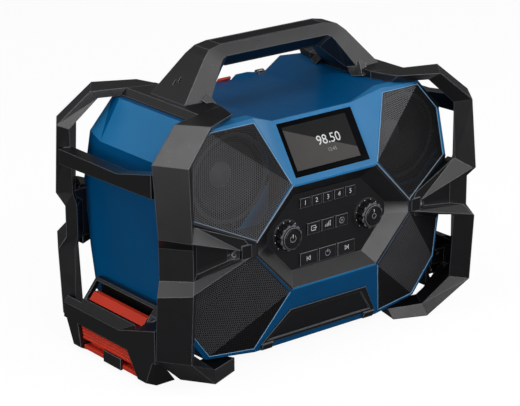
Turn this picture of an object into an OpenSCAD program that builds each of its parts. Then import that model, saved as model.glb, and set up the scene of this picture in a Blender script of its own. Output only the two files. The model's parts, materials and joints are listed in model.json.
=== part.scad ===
// Jobsite radio: faceted cabinet in a roll cage, leaning display, recessed control panel,
// two knobs, eleven keys, carrying handle, side click latches, battery door, folding aerial.

/* [Overall] */
// Overall width across the cage sides
body_w = 500; // [470:1:530]
// Overall depth over the cage corner ridges
body_d = 289; // [272:1:306]
// Height of the top rails above the floor
cage_h = 329; // [312:1:346]
// Height of the handle above the top rails
handle_rise = 59.5; // [50:0.5:72]

/* [Controls] */
// Half distance between the two knobs
knob_x = 65; // [62:0.5:67]
// Knob outer radius at its skirt
knob_r = 17; // [14:0.5:18.5]
// Knob height above its ring
knob_h = 11.4; // [8:0.1:14]
// Push travel of a knob
knob_push = 0.8; // [0.4:0.1:1.2]
// Radius of the fixed ring round each knob
ring_r = 20; // [19:0.5:20.5]
// Knob shaft radius
shaft_r = 3; // [2.5:0.1:4]
// Running clearance of a shaft in its bore
run_clear = 0.05; // [0.02:0.01:0.09]
// Preset key width
key_w = 15.6; // [12:0.2:16.4]
// Preset key height
key_h = 12.6; // [10:0.2:13.4]
// Centre distance of the preset keys
key_pitch = 18; // [17.4:0.2:18.6]
// Middle row key width
mid_w = 19.5; // [15:0.5:20]
// Middle row key height
mid_h = 15; // [12:0.5:16]
// Low row key width
low_w = 27.5; // [22:0.5:28]
// Low row key height
low_h = 17; // [14:0.5:18]
// Gap between a key and its hole, each side
key_gap = 0.35; // [0.3:0.05:0.5]
// How far a key stands proud of the panel
key_proud = 2; // [1.5:0.1:3]
// Travel of a key
key_travel = 1; // [0.6:0.1:1.2]

/* [Display] */
// Display window width
disp_w = 118; // [110:1:120]
// Display window height along its slope
disp_h = 70; // [64:1:72]
// Display window thickness
disp_t = 2.4; // [2:0.1:2.8]

/* [Speakers] */
// Speaker flange radius
spk_r = 57.5; // [50:0.5:58]
// Speaker centre, half distance
spk_x = 135; // [132:1:138]
// Bass driver radius
bass_r = 52; // [44:1:56]

/* [Latches] */
// Half width of a side latch
latch_y = 57; // [50:1:59]
// Latch pin radius
pin_r = 2; // [1.5:0.1:2.5]

/* [Rear] */
// Half width of the battery door
door_x = 55; // [50:1:56]
// Door thickness
door_t = 4; // [3:0.2:5]
// Aerial tube radius
aer_r = 3.2; // [2.8:0.1:3.8]
// Aerial length folded
aer_l = 132; // [110:1:140]

/* [Hidden] */
$fn = 64;
kx = body_w / 500;
ky = body_d / 289;
kz = cage_h / 329;
function K(p) = [p[0] * kx, p[1] * ky, p[2] * kz];
// depth of the plane through three points at a place in front view
function nrm(a, b, c) = cross(b - a, c - a);
function ypl(a, b, c, x, z) =
  let (n = nrm(a, b, c)) a[1] - (n[0] * (x - a[0]) + n[2] * (z - a[2])) / n[1];
function onp(a, b, c, x, z) = [x, ypl(a, b, c, x, z), z];

// cabinet corner points, right front quarter
pa0 = K([0, -88, 305]);   pa1 = K([63, -88, 305]);
pb1 = K([101, -100, 319]); pb2 = K([168, -96, 315]);
pd0 = K([0, -133, 236]);  pd1 = K([66, -133, 236]);
px1 = K([123, -133, 176]); px2 = K([123, -133, 159]);
pl0 = K([0, -133, 101.5]); pl1 = K([68.5, -133, 101.5]);
pb3 = onp(pd1, pb2, px1, 203 * kx, 277 * kz);
pb4 = onp(pd1, pb2, px1, 206 * kx, 213 * kz);
pb5 = K([208, -96, 128]);
pb7 = K([170, -90, 23]);
pb6 = onp(px2, pl1, pb7, 203 * kx, 68 * kz);
pb8 = K([99, -97, 16]);   pb9 = K([0, -97, 16]);
// control panel flat
fy = -117 * ky;
ph0 = [0, fy, 216.5 * kz]; ph1 = [52.5 * kx, fy, 216.5 * kz];
ph2 = [94 * kx, fy, 176 * kz]; ph3 = [94 * kx, fy, 160.5 * kz];
ph4 = [56 * kx, fy, 119.5 * kz]; ph5 = [0, fy, 119.5 * kz];
// panel opening outline (inside the blue trim)
po0 = [0, -133 * ky, 233.4 * kz]; po1 = [64.6 * kx, -133 * ky, 233.4 * kz];
po2 = [120.6 * kx, -133 * ky, 175 * kz]; po3 = [120.6 * kx, -133 * ky, 160 * kz];
po4 = [67.4 * kx, -133 * ky, 104 * kz]; po5 = [0, -133 * ky, 104 * kz];

knob_z = 167 * kz;
row1_z = 203.6 * kz;
row2_z = 168 * kz;
row3_z = 130.4 * kz;
split_y = -86 * ky;
panel_t = 3;
board_y = fy + 8;
ring_y = fy - 1.5;
knob_y = ring_y - knob_push - 0.3;
disp_ang = atan2(pa0[1] - pd0[1], pa0[2] - pd0[2]);
disp_s0 = 7.5 * kz;
rz = cage_h;
rail_t = 10;

// ---- helpers ----
function rev(F) = [for (f = F) [for (i = [len(f) - 1:-1:0]) f[i]]];
module mx2() { children(); mirror([1, 0, 0]) children(); }
function sum(v, i = 0, s = 0) = i < len(v) ? sum(v, i + 1, s + v[i]) : s;
function fan(F) = [for (f = F) for (i = [1:len(f) - 2]) [f[0], f[i], f[i + 1]]];
// closed solid from triangles, turned the right way out
module solid(P, F) {
  T = fan(F);
  v = sum([for (t = T) cross(P[t[0]], P[t[1]]) * P[t[2]]]);
  polyhedron(points = P, faces = v > 0 ? rev(T) : T);
}
// ruled solid through stations of k points
module loft(S) {
  k = len(S[0]); n = len(S);
  solid([for (s = S) for (p = s) p], concat(
    [for (i = [0:n - 2]) for (j = [0:k - 1]) [i * k + j, i * k + (j + 1) % k, (i + 1) * k + j]],
    [for (i = [0:n - 2]) for (j = [0:k - 1])
      [i * k + (j + 1) % k, (i + 1) * k + (j + 1) % k, (i + 1) * k + j]],
    [for (j = [1:k - 2]) [0, j + 1, j]],
    [for (j = [1:k - 2]) [(n - 1) * k, (n - 1) * k + j, (n - 1) * k + j + 1]]));
}
// plate: front faces F over points P, border loop B, shifted t along +Y
module slab(P, F, B, t) {
  n = len(P); m = len(B);
  solid(concat(P, [for (p = P) p + [0, t, 0]]),
    concat(fan(F), [for (f = rev(fan(F))) [for (i = f) i + n]],
      [for (i = [0:m - 1]) let (a = B[i], b = B[(i + 1) % m]) [b, a, a + n, b + n]]));
}
module ext_y(y0, y1) {
  translate([0, y1, 0]) rotate([90, 0, 0]) linear_extrude(y1 - y0) children();
}
module cyl_y(r, y0, y1) { translate([0, y1, 0]) rotate([90, 0, 0]) cylinder(r = r, h = y1 - y0); }
module cyl_x(r, x0, x1) { translate([x0, 0, 0]) rotate([0, 90, 0]) cylinder(r = r, h = x1 - x0); }

// ---- cabinet body ----
qP = concat([pa0, pa1, pb1, pb2, pb3, pb4, pb5, pb6, pb7, pb8, pb9, pd0, pd1, px1, px2, pl1, pl0],
  [for (p = [[0, 0, 305], [63, 0, 305], [176, -69.5, 319], [101, 0, 319], [176, 0, 319],
    [210, -64, 272], [210, -90, 200], [210, -86, 129], [210, -77, 90], [210, 0, 272],
    [210, 0, 90], [178, -62, 28], [178, 0, 28], [99, 0, 16], [0, 0, 16]]) K(p)]);
qF = [[0, 11, 12, 1], [1, 12, 2], [2, 12, 3], [12, 4, 3], [12, 5, 4], [12, 13, 5], [13, 6, 5],
  [13, 14, 6], [14, 7, 6], [14, 8, 7], [14, 15, 8], [15, 9, 8], [16, 10, 9, 15],
  [11, 16, 15, 14, 13, 12], [0, 1, 18, 17], [1, 2, 20, 18], [2, 3, 19], [2, 19, 21, 20],
  [3, 4, 22], [3, 22, 19], [19, 22, 26, 21], [4, 5, 23], [4, 23, 22], [5, 6, 24], [5, 24, 23],
  [6, 7, 25], [6, 25, 24], [22, 23, 24, 25, 27, 26], [7, 8, 28], [7, 28, 25],
  [25, 28, 29, 27], [8, 9, 28], [9, 30, 29, 28], [9, 10, 31, 30],
  [17, 18, 20, 21, 26, 27, 29, 30, 31], [0, 17, 31, 10, 16, 11]];
// the whole cabinet: four mirrored quarters joined into one closed skin
function mir(P, a, b) = [for (p = P) [a * p[0], b * p[1], p[2]]];
function at_of(L, p) = [for (i = [0:len(L) - 1]) if (norm(L[i] - p) < 0.001) i][0];
function flat0(P, f, k) = max([for (i = f) abs(P[i][k])]) < 0.001;
qS = [for (f = fan(qF)) if (!flat0(qP, f, 0) && !flat0(qP, f, 1)) f];
cP = concat(qP, mir(qP, -1, 1), mir(qP, 1, -1), mir(qP, -1, -1));
cI = [for (p = cP) at_of(cP, p)];
cF = [for (q = [0:3]) for (f = qS) let (n = q * len(qP), g = [for (i = f) cI[i + n]])
  q == 1 || q == 2 ? [g[2], g[1], g[0]] : g];
module cab() { solid(cP, cF); }
module cab_in() {
  translate([0, 0, 165 * kz]) scale([0.983, 0.972, 0.977]) translate([0, 0, -165 * kz]) cab();
}
module behind() { translate([-300 * kx, split_y, -10]) cube([600 * kx, 300 * ky, 400 * kz]); }
module afront() { translate([-300 * kx, split_y - 200 * ky, -10]) cube([600 * kx, 200 * ky, 400 * kz]); }
module panel_shape() {
  polygon([[-po1[0], po1[2]], [po1[0], po1[2]], [po2[0], po2[2]], [po3[0], po3[2]],
    [po4[0], po4[2]], [-po4[0], po4[2]], [-po3[0], po3[2]], [-po2[0], po2[2]]]);
}
module at_disp() { translate(pd0) rotate([-disp_ang, 0, 0]) children(); }
// grille outlines: points on the cabinet facets
function lerp(a, b, t) = a + (b - a) * t;
gu = [lerp(pd1, pb2, 0.035), onp(pd1, pb1, pb2, 101.5 * kx, 313.5 * kz), lerp(pd1, pb2, 0.965),
  onp(pd1, pb2, px1, 197.5 * kx, 275.5 * kz), onp(pd1, pb2, px1, 200.5 * kx, 214.5 * kz),
  onp(pd1, pb2, px1, 122 * kx, 180 * kz)];
guF = [[0, 1, 2], [0, 2, 3, 4, 5]];
gl = [lerp(px2, pb6, 0.02), onp(px2, pb5, pb6, 202 * kx, 125.5 * kz), lerp(px2, pb6, 0.955),
  lerp(pl1, pb7, 0.955), onp(pl1, pb7, pb8, 101.5 * kx, 22 * kz), lerp(pl1, pb7, 0.035)];
glF = [[0, 1, 2], [0, 2, 3, 5], [5, 3, 4]];
module gslab_u(t, y) { translate([0, y, 0]) slab(gu, guF, [0, 1, 2, 3, 4, 5], t); }
module gslab_l(t, y) { translate([0, y, 0]) slab(gl, glF, [0, 1, 2, 3, 4, 5], t); }
function inset(P, c, k) = [for (p = P) [c[0] + (p[0] - c[0]) * k, c[1] + (p[2] - c[1]) * k]];
hood = [[-61, 71], [61, 71], [93, 25], [-93, 25]];
hood_k = [for (p = hood) [p[0] * kx, p[1] * kz]];
module screw(h) {
  difference() {
    union() { cyl_y(scr_r, -scr_h, 0); cyl_y(2, -0.5, h); }
    ext_y(-scr_h - 1, -scr_h + 1.6) circle(r = 2, $fn = 6);
  }
}

module front_bezel() color("#0f5a96") {
  difference() {
    cab();
    cab_in();
    behind();
    ext_y(-150 * ky, -100 * ky) panel_shape();
    at_disp() translate([-disp_w / 2, -3, disp_s0]) cube([disp_w, 3 + disp_t, disp_h]);
    at_disp() translate([-disp_w / 2 + 3, -3, disp_s0 + 3]) cube([disp_w - 6, 22, disp_h - 6]);
    mx2() {
      gslab_u(3, -1);
      gslab_l(3, -1);
      ext_y(-150 * ky, -80 * ky) polygon(inset(gu, [135 * kx, 248 * kz], 0.93));
      ext_y(-150 * ky, -80 * ky) polygon(inset(gl, [140 * kx, 88 * kz], 0.93));
    }
    ext_y(-150 * ky, -80 * ky) polygon([for (p = hood_k) [p[0] + (p[0] > 0 ? 0.5 : -0.5),
    p[1] + (p[1] > 50 * kz ? 0.3 : -0.3)]]);
    mx2() arm_screw_hole();
  }
  // speaker baffles
  mx2() difference() {
    intersection() {
      cab();
      translate([76 * kx, spk_fy - 3, 182 * kz]) cube([130 * kx, 3, 135 * kz]);
    }
    gslab_u(3, -1);
    translate([spk_x * kx, 0, 250 * kz]) cyl_y(spk_r - 6, -150 * ky, 0);
  }
}
spk_fy = -94 * ky;

module main_shell() color("#0d4f86") difference() {
  union() {
    difference() { cab(); cab_in(); }
    // battery bay walls and hinge lugs
    intersection() {
      cab();
      translate([-door_x - 4, 45 * ky, 98 * kz]) cube([2 * door_x + 8, 100 * ky, 203 * kz]);
    }
    for (s = [-1, 1]) translate([s * 46 * kx - 4, 112 * ky, 90 * kz]) cube([8, 19 * ky, 12]);
    mx2() crest_hump();
  }
  afront();
  // battery bay and its door opening
  ext_y(48 * ky, 150 * ky) polygon([[-door_x, 102 * kz], [door_x, 102 * kz],
    [door_x, 297 * kz], [-door_x, 297 * kz]]);
  translate([-38 * kx, 118 * ky, 84 * kz]) cube([76 * kx, 30 * ky, 19 * kz]);
  translate([0, hinge_y, hinge_z]) cyl_x(pin_r, -60 * kx, 60 * kx);
  // sill relief for the door's swing
  translate([-door_x, hinge_y + 2, hinge_z + 4.3]) cube([2 * door_x, 20 * ky, 8 * kz]);
  // bore for the bass port and mains inlet
  translate([0, 0, -1]) cylinder(r = bass_r - 6, h = 30);
  translate([-140 * kx, 60 * ky, 120 * kz]) cube([26, 90 * ky, 20]);
  // cage screw holes
  mirror([0, 1, 0]) mx2() arm_screw_hole();
}
// raised shoulder at the top of the rear slope, beside the door's latch
module crest_hump() at_back(0) rotate([0, 90, 0]) loft([for (q = [[13, 0.2], [23, 1], [42, 1], [51, 0.5]])
  [for (p = [[-1.5, -3], [13, -3], [13, 1], [9, 7], [0.5, 7], [-1.5, 5]])
    [p[0], p[1] > 0 ? p[1] * q[1] : p[1], q[0] * kx]]]);
hinge_y = 126 * ky;
hinge_z = 96 * kz;

module grille_u() gslab_u(2, 0);
module grille_l() gslab_l(2, 0);
module grille_upper_right() color("#46464a") grille_u();
module grille_upper_left() color("#46464a") mirror([1, 0, 0]) grille_u();
module grille_lower_right() color("#46464a") grille_l();
module grille_lower_left() color("#46464a") mirror([1, 0, 0]) grille_l();

// bass hood on the lower centre face
hy = function (x, z) ypl(pl0, pl1, pb8, x, z);
module hood_slab(L, y, t) {
  slab([for (p = L) [p[0], hy(p[0], p[1]) + y, p[1]]], [[0, 1, 2, 3]], [0, 1, 2, 3], t);
}
module bass_hood() color("#1d1e21") difference() {
  union() {
    hood_slab(hood_k, -1.5, 5.5);
    // two end feet below it
    for (s = [-1, 1]) hood_slab([for (p = [[74, 26], [74, 17], [91, 17], [91, 26]])
      [s * p[0] * kx, p[1] * kz]], -3.6, 3.3);
  }
  hood_slab([for (p = hood_k) [p[0] * 0.9, 46 * kz + (p[1] - 46 * kz) * 0.76]], -6, 7);
}

module display_window() color("#0b0c0e")
  at_disp() translate([-disp_w / 2, 0, disp_s0]) cube([disp_w, disp_t, disp_h]);
module display_module() color("#2e7d4f")
  at_disp() {
    translate([-disp_w / 2 + 3, disp_t, disp_s0 + 3]) cube([disp_w - 6, 6, disp_h - 6]);
    translate([-disp_w / 2 + 8, disp_t + 6, disp_s0 + 9]) cube([disp_w - 16, 4, disp_h - 18]);
  }

cpP = [po0, po1, po2, po3, po4, po5, ph0, ph1, ph2, ph3, ph4, ph5];
cpF = [[0, 1, 7, 6], [1, 2, 8, 7], [2, 3, 9, 8], [3, 4, 10, 9], [4, 5, 11, 10],
  [6, 7, 8, 9, 10, 11]];
row1 = [for (i = [-2:2]) i * key_pitch];
row2 = [for (i = [-1:1]) i * (mid_w + 3)];
row3 = [for (i = [-1:1]) i * (low_w + 2.5)];
module key_hole(x, z, w, h) {
  translate([x - w / 2 - key_gap, fy - 5, z - h / 2 - key_gap])
    cube([w + 2 * key_gap, 12, h + 2 * key_gap]);
}
module control_panel() color("#17181b") difference() {
  union() {
    mx2() slab(cpP, cpF, [0, 1, 2, 3, 4, 5, 11, 6], panel_t);
    mx2() translate([knob_x * kx, 0, knob_z]) cyl_y(ring_r, ring_y, fy + 1);
    // board posts
    for (s = [-1, 1]) for (z = [188, 148])
      translate([s * 44 * kx, 0, z * kz]) cyl_y(2.6, fy + 1, board_y);
  }
  mx2() translate([knob_x * kx, 0, knob_z]) cyl_y(5, fy - 5, fy + 8);
  for (x = row1) key_hole(x, row1_z, key_w, key_h);
  for (x = row2) key_hole(x, row2_z, mid_w, mid_h);
  for (x = row3) key_hole(x, row3_z, low_w, low_h);
}
module switch_at(x, z) { translate([x - 3, board_y - 1.6, z - 3]) cube([6, 2, 6]); }
module keypad_board() color("#1f6b3a") {
  ext_y(board_y, board_y + 1.6) polygon([[-50 * kx, 213 * kz], [50 * kx, 213 * kz],
    [86 * kx, 178 * kz], [86 * kx, 156 * kz], [54 * kx, 120 * kz], [-54 * kx, 120 * kz],
    [-86 * kx, 156 * kz], [-86 * kx, 178 * kz]]);
  for (x = row1) switch_at(x, row1_z);
  for (x = row2) switch_at(x, row2_z);
  for (x = row3) switch_at(x, row3_z);
}
module encoder_bodies() color("#8c9096") mx2() translate([knob_x * kx, 0, knob_z]) difference() {
  translate([-6.5, board_y - 4.4, -6.5]) cube([13, 4.4, 13]);
  cyl_y(shaft_r + run_clear, board_y - 8, board_y - 2);
}
module shaft_at(s) color("#b9bcc2") translate([s * knob_x * kx, 0, knob_z])
  cyl_y(shaft_r, knob_y - knob_h + 3.3, board_y - 2.3 - knob_push);
module knob_shaft_left() shaft_at(-1);
module knob_shaft_right() shaft_at(1);
module knob_at(s) color("#101114") translate([s * knob_x * kx, 0, knob_z]) difference() {
  union() {
    difference() {
      cyl_y(knob_r, knob_y - knob_h + 2.4, knob_y);
      for (a = [0:30:330]) rotate([0, a, 0]) translate([knob_r + 2, 0, 0])
        cyl_y(3.6, knob_y - 20, knob_y + 5);
    }
    cyl_y(knob_r - 3, knob_y - knob_h, knob_y);
  }
  cyl_y(shaft_r + run_clear, knob_y - knob_h + 3, knob_y + 1);
}
module volume_knob() knob_at(-1);
module tuning_knob() knob_at(1);
// a key: cap through the panel, flange behind it, stem towards its switch
module key_at(x, z, w, h, c) color(c) {
  translate([x - w / 2, fy - key_proud, z - h / 2]) cube([w, key_proud + panel_t + 0.4, h]);
  translate([x - w / 2 - 0.9, fy + panel_t + 0.3, z - h / 2 - 0.9]) cube([w + 1.8, 1, h + 1.8]);
  translate([x - 2, fy + panel_t + 1.2, z - 2])
    cube([4, 8 - 1.6 - key_travel - 0.3 - panel_t - 1.2, 4]);
}
module preset_key_1() key_at(row1[0], row1_z, key_w, key_h, "#2a2b2f");
module preset_key_2() key_at(row1[1], row1_z, key_w, key_h, "#2a2b2f");
module preset_key_3() key_at(row1[2], row1_z, key_w, key_h, "#2a2b2f");
module preset_key_4() key_at(row1[3], row1_z, key_w, key_h, "#2a2b2f");
module preset_key_5() key_at(row1[4], row1_z, key_w, key_h, "#2a2b2f");
module mid_key_left() key_at(row2[0], row2_z, mid_w, mid_h, "#232428");
module mid_key_centre() key_at(row2[1], row2_z, mid_w, mid_h, "#232428");
module mid_key_right() key_at(row2[2], row2_z, mid_w, mid_h, "#232428");
module low_key_left() key_at(row3[0], row3_z, low_w, low_h, "#2d2e33");
module low_key_centre() key_at(row3[1], row3_z, low_w, low_h, "#2d2e33");
module low_key_right() key_at(row3[2], row3_z, low_w, low_h, "#2d2e33");

// ---- speakers ----
module basket_at(s) color("#55585e") translate([s * spk_x * kx, 0, 250 * kz]) difference() {
  union() {
    cyl_y(spk_r, spk_fy, spk_fy + 3);
    translate([0, spk_fy + 3, 0]) rotate([-90, 0, 0]) cylinder(r1 = spk_r - 3.5, r2 = 26, h = 26);
    cyl_y(30, spk_fy + 29, spk_fy + 45);
  }
  translate([0, spk_fy - 0.1, 0]) rotate([-90, 0, 0]) cylinder(r1 = spk_r - 6, r2 = 20, h = 27);
}
module cone_at(s) color("#26272a") translate([s * spk_x * kx, 0, 250 * kz]) {
  difference() {
    translate([0, spk_fy + 0.4, 0]) rotate([-90, 0, 0])
      cylinder(r1 = spk_r - 6.9, r2 = 15, h = 20);
    translate([0, spk_fy - 0.1, 0]) rotate([-90, 0, 0])
      cylinder(r1 = spk_r - 8.4, r2 = 12, h = 19);
  }
  cyl_y(15, spk_fy + 14, spk_fy + 26.9);
}
module speaker_basket_left() basket_at(-1);
module speaker_basket_right() basket_at(1);
module speaker_cone_left() cone_at(-1);
module speaker_cone_right() cone_at(1);
bz = 16 * kz + 3.5 * kz;
module bass_driver() color("#3a3c41") translate([0, 0, bz]) difference() {
  union() {
    cylinder(r = bass_r, h = 3);
    translate([0, 0, 3]) cylinder(r1 = bass_r - 6, r2 = 30, h = 24);
    translate([0, 0, 27]) cylinder(r = 32, h = 18);
  }
  translate([0, 0, -0.1]) cylinder(r1 = bass_r - 7, r2 = 16, h = 24);
}

// ---- roll cage ----
// front hoop, right side: ridge, outer rear, inner rear, inner front per station
hoopS = [for (q = [
  [[131, -98, 329], [119, -60, 329], [119, -60, 319.5], [127, -90, 319.5]],
  [[179, -122.5, 329], [208, -89.5, 329], [197, -85.8, 319.5], [172, -110, 319.5]],
  [[220, -134.5, 290.5], [250, -103, 290.5], [236, -92, 286], [207, -120, 285.5]],
  [[228.5, -144.5, 200.5], [250, -102, 203], [234, -92, 203], [208, -124.5, 204]],
  [[218, -135.5, 189.6], [242, -98, 186], [230, -90, 186], [197, -115, 189]],
  [[218, -135.5, 149.5], [242, -98, 146], [230, -90, 146], [197, -115, 150]],
  [[228.5, -144.5, 136], [250, -102, 128.5], [234, -92, 128.5], [208, -124.5, 133]],
  [[220.5, -134.5, 46.5], [250, -102, 46], [236, -92, 52], [206, -119, 49]],
  [[173, -115, 0], [199, -78, 0], [192, -72, 12], [170, -109, 16]],
  [[130.5, -97.5, 0], [139, -62, 0], [134, -60, 12], [126, -91.5, 13.5]]
  ]) [for (p = q) K(p)]];
upS = [for (q = [
  [[225, -141.5, 200], [207, -123, 212], [214, -104, 208], [222, -108, 192]],
  [[144, -130, 169.7], [124, -130, 176.5], [130, -114, 178], [146, -114, 168]]
  ]) [for (p = q) K(p)]];
lowS = [for (q = [
  [[226, -142, 136.5], [216, -133.5, 149.5], [212, -108, 149], [214, -104, 128]],
  [[130, -131, 158.5], [155, -128.5, 158], [155, -110, 157], [134, -112, 149]]
  ]) [for (p = q) K(p)]];
// cage screw in the slot between the arms: its seat, head and hole
scp = K([150, -120.6, 163]);
scr_r = 3.4;
scr_h = 3;
floor_t = 1.2;
module arm_screw_hole() translate([scp[0], 0, scp[2]]) {
  cyl_y(2, -200 * ky, 0);
  cyl_y(scr_r + 0.3, -200 * ky, scp[1]);
}
// end block at the cabinet corner, slot floor and recess block between the arms
module arm_blocks() {
  translate([127 * kx, -131 * ky, 158 * kz]) cube([16 * kx, 20 * ky, 17 * kz]);
  translate([0, 0, 150 * kz]) linear_extrude(24 * kz) polygon([
    for (q = [[136, 1], [165, 1], [165, 0], [136, 0]])
      [q[0] * kx, ypl(px1, px2, pb5, q[0] * kx, 165 * kz) - q[1] * floor_t]]);
  translate([157.5 * kx, -121 * ky, 148 * kz]) cube([54 * kx, 16 * ky, 42 * kz]);
}
module hoop_front() color("#202125") difference() {
  union() {
    loft(hoopS);
    loft(upS);
    loft(lowS);
    arm_blocks();
  }
  cab();
  arm_screw_hole();
}
module hoop_front_right() hoop_front();
module hoop_front_left() mirror([1, 0, 0]) hoop_front();
// middle side bar between front and rear hoops, raised by lift on the right side
bar_lift = 14;
function mbar(lift) = [for (p = [[-98, 249, 1], [-98, 278.7, 0.95], [-84.5, 275.5, 0.6],
  [-28, 262.5, 1], [96, 262.5, 1], [96, 243, 1], [0, 245.5, 1]])
    [p[0] * ky, (p[1] + p[2] * lift) * kz]];
module hoop_rear(lift) color("#1c1d20") difference() {
  union() {
    mirror([0, 1, 0]) {
      loft(hoopS); loft(upS); loft(lowS);
      arm_blocks();
      translate([150 * kx, -114 * ky, 140 * kz]) cube([82 * kx, 12 * ky, 62 * kz]);
    }
    translate([232 * kx, 0, 0]) rotate([90, 0, 90]) linear_extrude(18 * kx) polygon(mbar(lift));
  }
  cab();
  mirror([0, 1, 0]) arm_screw_hole();
  loft(hoopS);
}
module hoop_rear_right() hoop_rear(bar_lift);
module hoop_rear_left() mirror([1, 0, 0]) hoop_rear(0);

// top rails: plan outline meets the rear faces of the hoop tops
module rail() color("#232428") difference() {
  intersection() {
    translate([0, 0, rz - rail_t]) linear_extrude(rail_t + 1) polygon([for (p = [[119, -60],
      [170, -76.9], [170, 76.9], [119, 60]]) [p[0] * kx, p[1] * ky]]);
    ext_y(-90 * ky, 90 * ky) polygon([[119 * kx, rz], [162 * kx, rz], [169 * kx, rz - 8],
      [169 * kx, rz - rail_t], [119 * kx, rz - rail_t]]);
  }
  for (s = [-1, 1]) translate([133 * kx, s * 22 * ky, rz - 20]) cylinder(r = 2.2, h = 30);
}
module rail_right() rail();
module rail_left() mirror([1, 0, 0]) rail();

// low side bar: inner ridge, inner bottom, outer bottom, outer ridge, top outer, top inner
lbS = [for (q = [[-98, 83.3], [-21, 61], [98, 61]])
  [for (p = [[244, q[1] - 6], [244, 41], [250, 41], [250, q[1]], [221, 97], [213, 97]])
    [p[0] * kx, q[0] * ky, p[1] * kz]]];
lpx = 232 * kx;
lpz = 60 * kz;
module low_bar() color("#1f2023") difference() {
  union() {
    difference() {
      loft(lbS);
      // open corner behind the window
      translate([200 * kx, 66 * ky, 63 * kz]) cube([44 * kx, 40 * ky, 50 * kz]);
    }
    for (s = [0, 1]) mirror([0, s, 0]) {
      // leg: outer face, its lower edge, then a chamfer to the floor
      hull() {
        translate([240 * kx, -92 * ky, 40 * kz]) cube([10 * kx, 24 * ky, 3 * kz]);
        translate([238 * kx, -78 * ky, 10 * kz]) cube([12 * kx, 16 * ky, 1]);
        translate([204 * kx, -73 * ky, 0]) cube([27 * kx, 13 * ky, 1]);
      }
      translate([222 * kx, -70 * ky, 46 * kz]) cube([23 * kx, 7 * ky, 20 * kz]);
    }
    // front side panel beside the latch
    translate([242 * kx, 0, 0]) rotate([90, 0, 90]) linear_extrude(8 * kx) polygon([
      [-36.5 * ky, 45 * kz], [-61 * ky, 10 * kz], [-75 * ky, 10 * kz], [-80 * ky, 45 * kz]]);
  }
  for (s = [-1, 1]) translate([217 * kx, s * 66.5 * ky, -1]) cylinder(r = 5.5, h = 3);
  // window in the slope
  translate([208 * kx, -60 * ky, 0]) rotate([90, 0, 90]) linear_extrude(50 * kx)
    polygon([[0, 72.5 * kz], [122 * ky, 72.5 * kz], [122 * ky, 94 * kz], [0, 94 * kz]]);
  translate([lpx, 0, lpz]) cyl_y(pin_r, -72 * ky, 72 * ky);
  cab();
  loft(hoopS);
  mirror([0, 1, 0]) loft(hoopS);
}
// wall behind the window and guard plate behind the latch
module bar_walls() color("#1f2023") difference() {
  union() {
    translate([213 * kx, -61 * ky, 63 * kz]) cube([3 * kx, 124 * ky, 33 * kz]);
    translate([223.2 * kx, -66 * ky, 46 * kz]) cube([4.6 * kx, 132 * ky, 6.5 * kz]);
    translate([223.5 * kx, -58 * ky, 12 * kz]) cube([4 * kx, 116 * ky, 36 * kz]);
  }
  cab();
}
module low_bar_right() { low_bar(); bar_walls(); }
module low_bar_left() mirror([1, 0, 0]) { low_bar(); bar_walls(); }

module feet() color("#0e0f11") mx2() for (s = [0, 1]) mirror([0, s, 0])
  translate([217 * kx, -66.5 * ky, 0]) cylinder(r = 5.5, h = 2);

module cage_screws() color("#9a9ea4") for (s = [0, 1]) mirror([s, 0, 0])
  for (r = [0, 1]) mirror([0, r, 0])
    translate(scp) screw(14);

// ---- side latches ----
module latch() color("#d2321f") difference() {
  union() {
    translate([0, latch_y, 0]) rotate([90, 0, 0]) linear_extrude(2 * latch_y) polygon([
      [225 * kx, 56 * kz], [225 * kx, 82.5 * kz], [231 * kx, 82.5 * kz], [238.2 * kx, 73.6 * kz],
      [230 * kx, 73.6 * kz], [230 * kx, 62 * kz], [237 * kx, 58 * kz], [237 * kx, 10 * kz],
      [231 * kx, 10 * kz], [231 * kx, 56 * kz]]);
    translate([lpx, 0, lpz]) cyl_y(pin_r + 3, -latch_y, latch_y);
    // ribbed grip and its lower lip
    translate([236 * kx, 0, 0]) rotate([90, 0, 90]) linear_extrude(10 * kx) polygon([
      [latch_y + 8, 37 * kz], [latch_y + 5, 22 * kz], [-latch_y + 9, 22 * kz],
      [-latch_y + 19, 37 * kz]]);
    translate([233 * kx, -latch_y + 3.5, 9 * kz]) cube([13 * kx, 2 * latch_y - 0.5, 5 * kz]);
  }
  for (z = [25:4:33]) translate([lpx + 13 * kx, -latch_y - 8, z * kz])
    cube([2 * kx, 2 * latch_y + 16, 1.8]);
  translate([lpx - 4, -30, 14 * kz]) cube([12, 12, 8 * kz]);
  translate([lpx, 0, lpz]) cyl_y(pin_r + run_clear, -latch_y - 1, latch_y + 1);
  // corner cut back behind the cage's side panel
  translate([226 * kx, 0, 0]) rotate([90, 0, 90]) linear_extrude(12 * kx) polygon([
    [-90 * ky, 49 * kz], [-31 * ky, 49 * kz], [-59 * ky, 9 * kz], [-90 * ky, 9 * kz]]);
}
module latch_right() latch();
module latch_left() mirror([1, 0, 0]) latch();
module hook() color("#141518") {
  translate([246 * kx, -24, 8 * kz]) cube([3.4 * kx, 37, 15 * kz]);
  translate([240 * kx, -16, 7 * kz]) cube([7 * kx, 29, 1.9 * kz]);
}
module hook_right() hook();
module hook_left() mirror([1, 0, 0]) hook();
module latch_pins() color("#b4b7bc") mx2()
  translate([lpx, 0, lpz]) cyl_y(pin_r, -70 * ky, 70 * ky);

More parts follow.
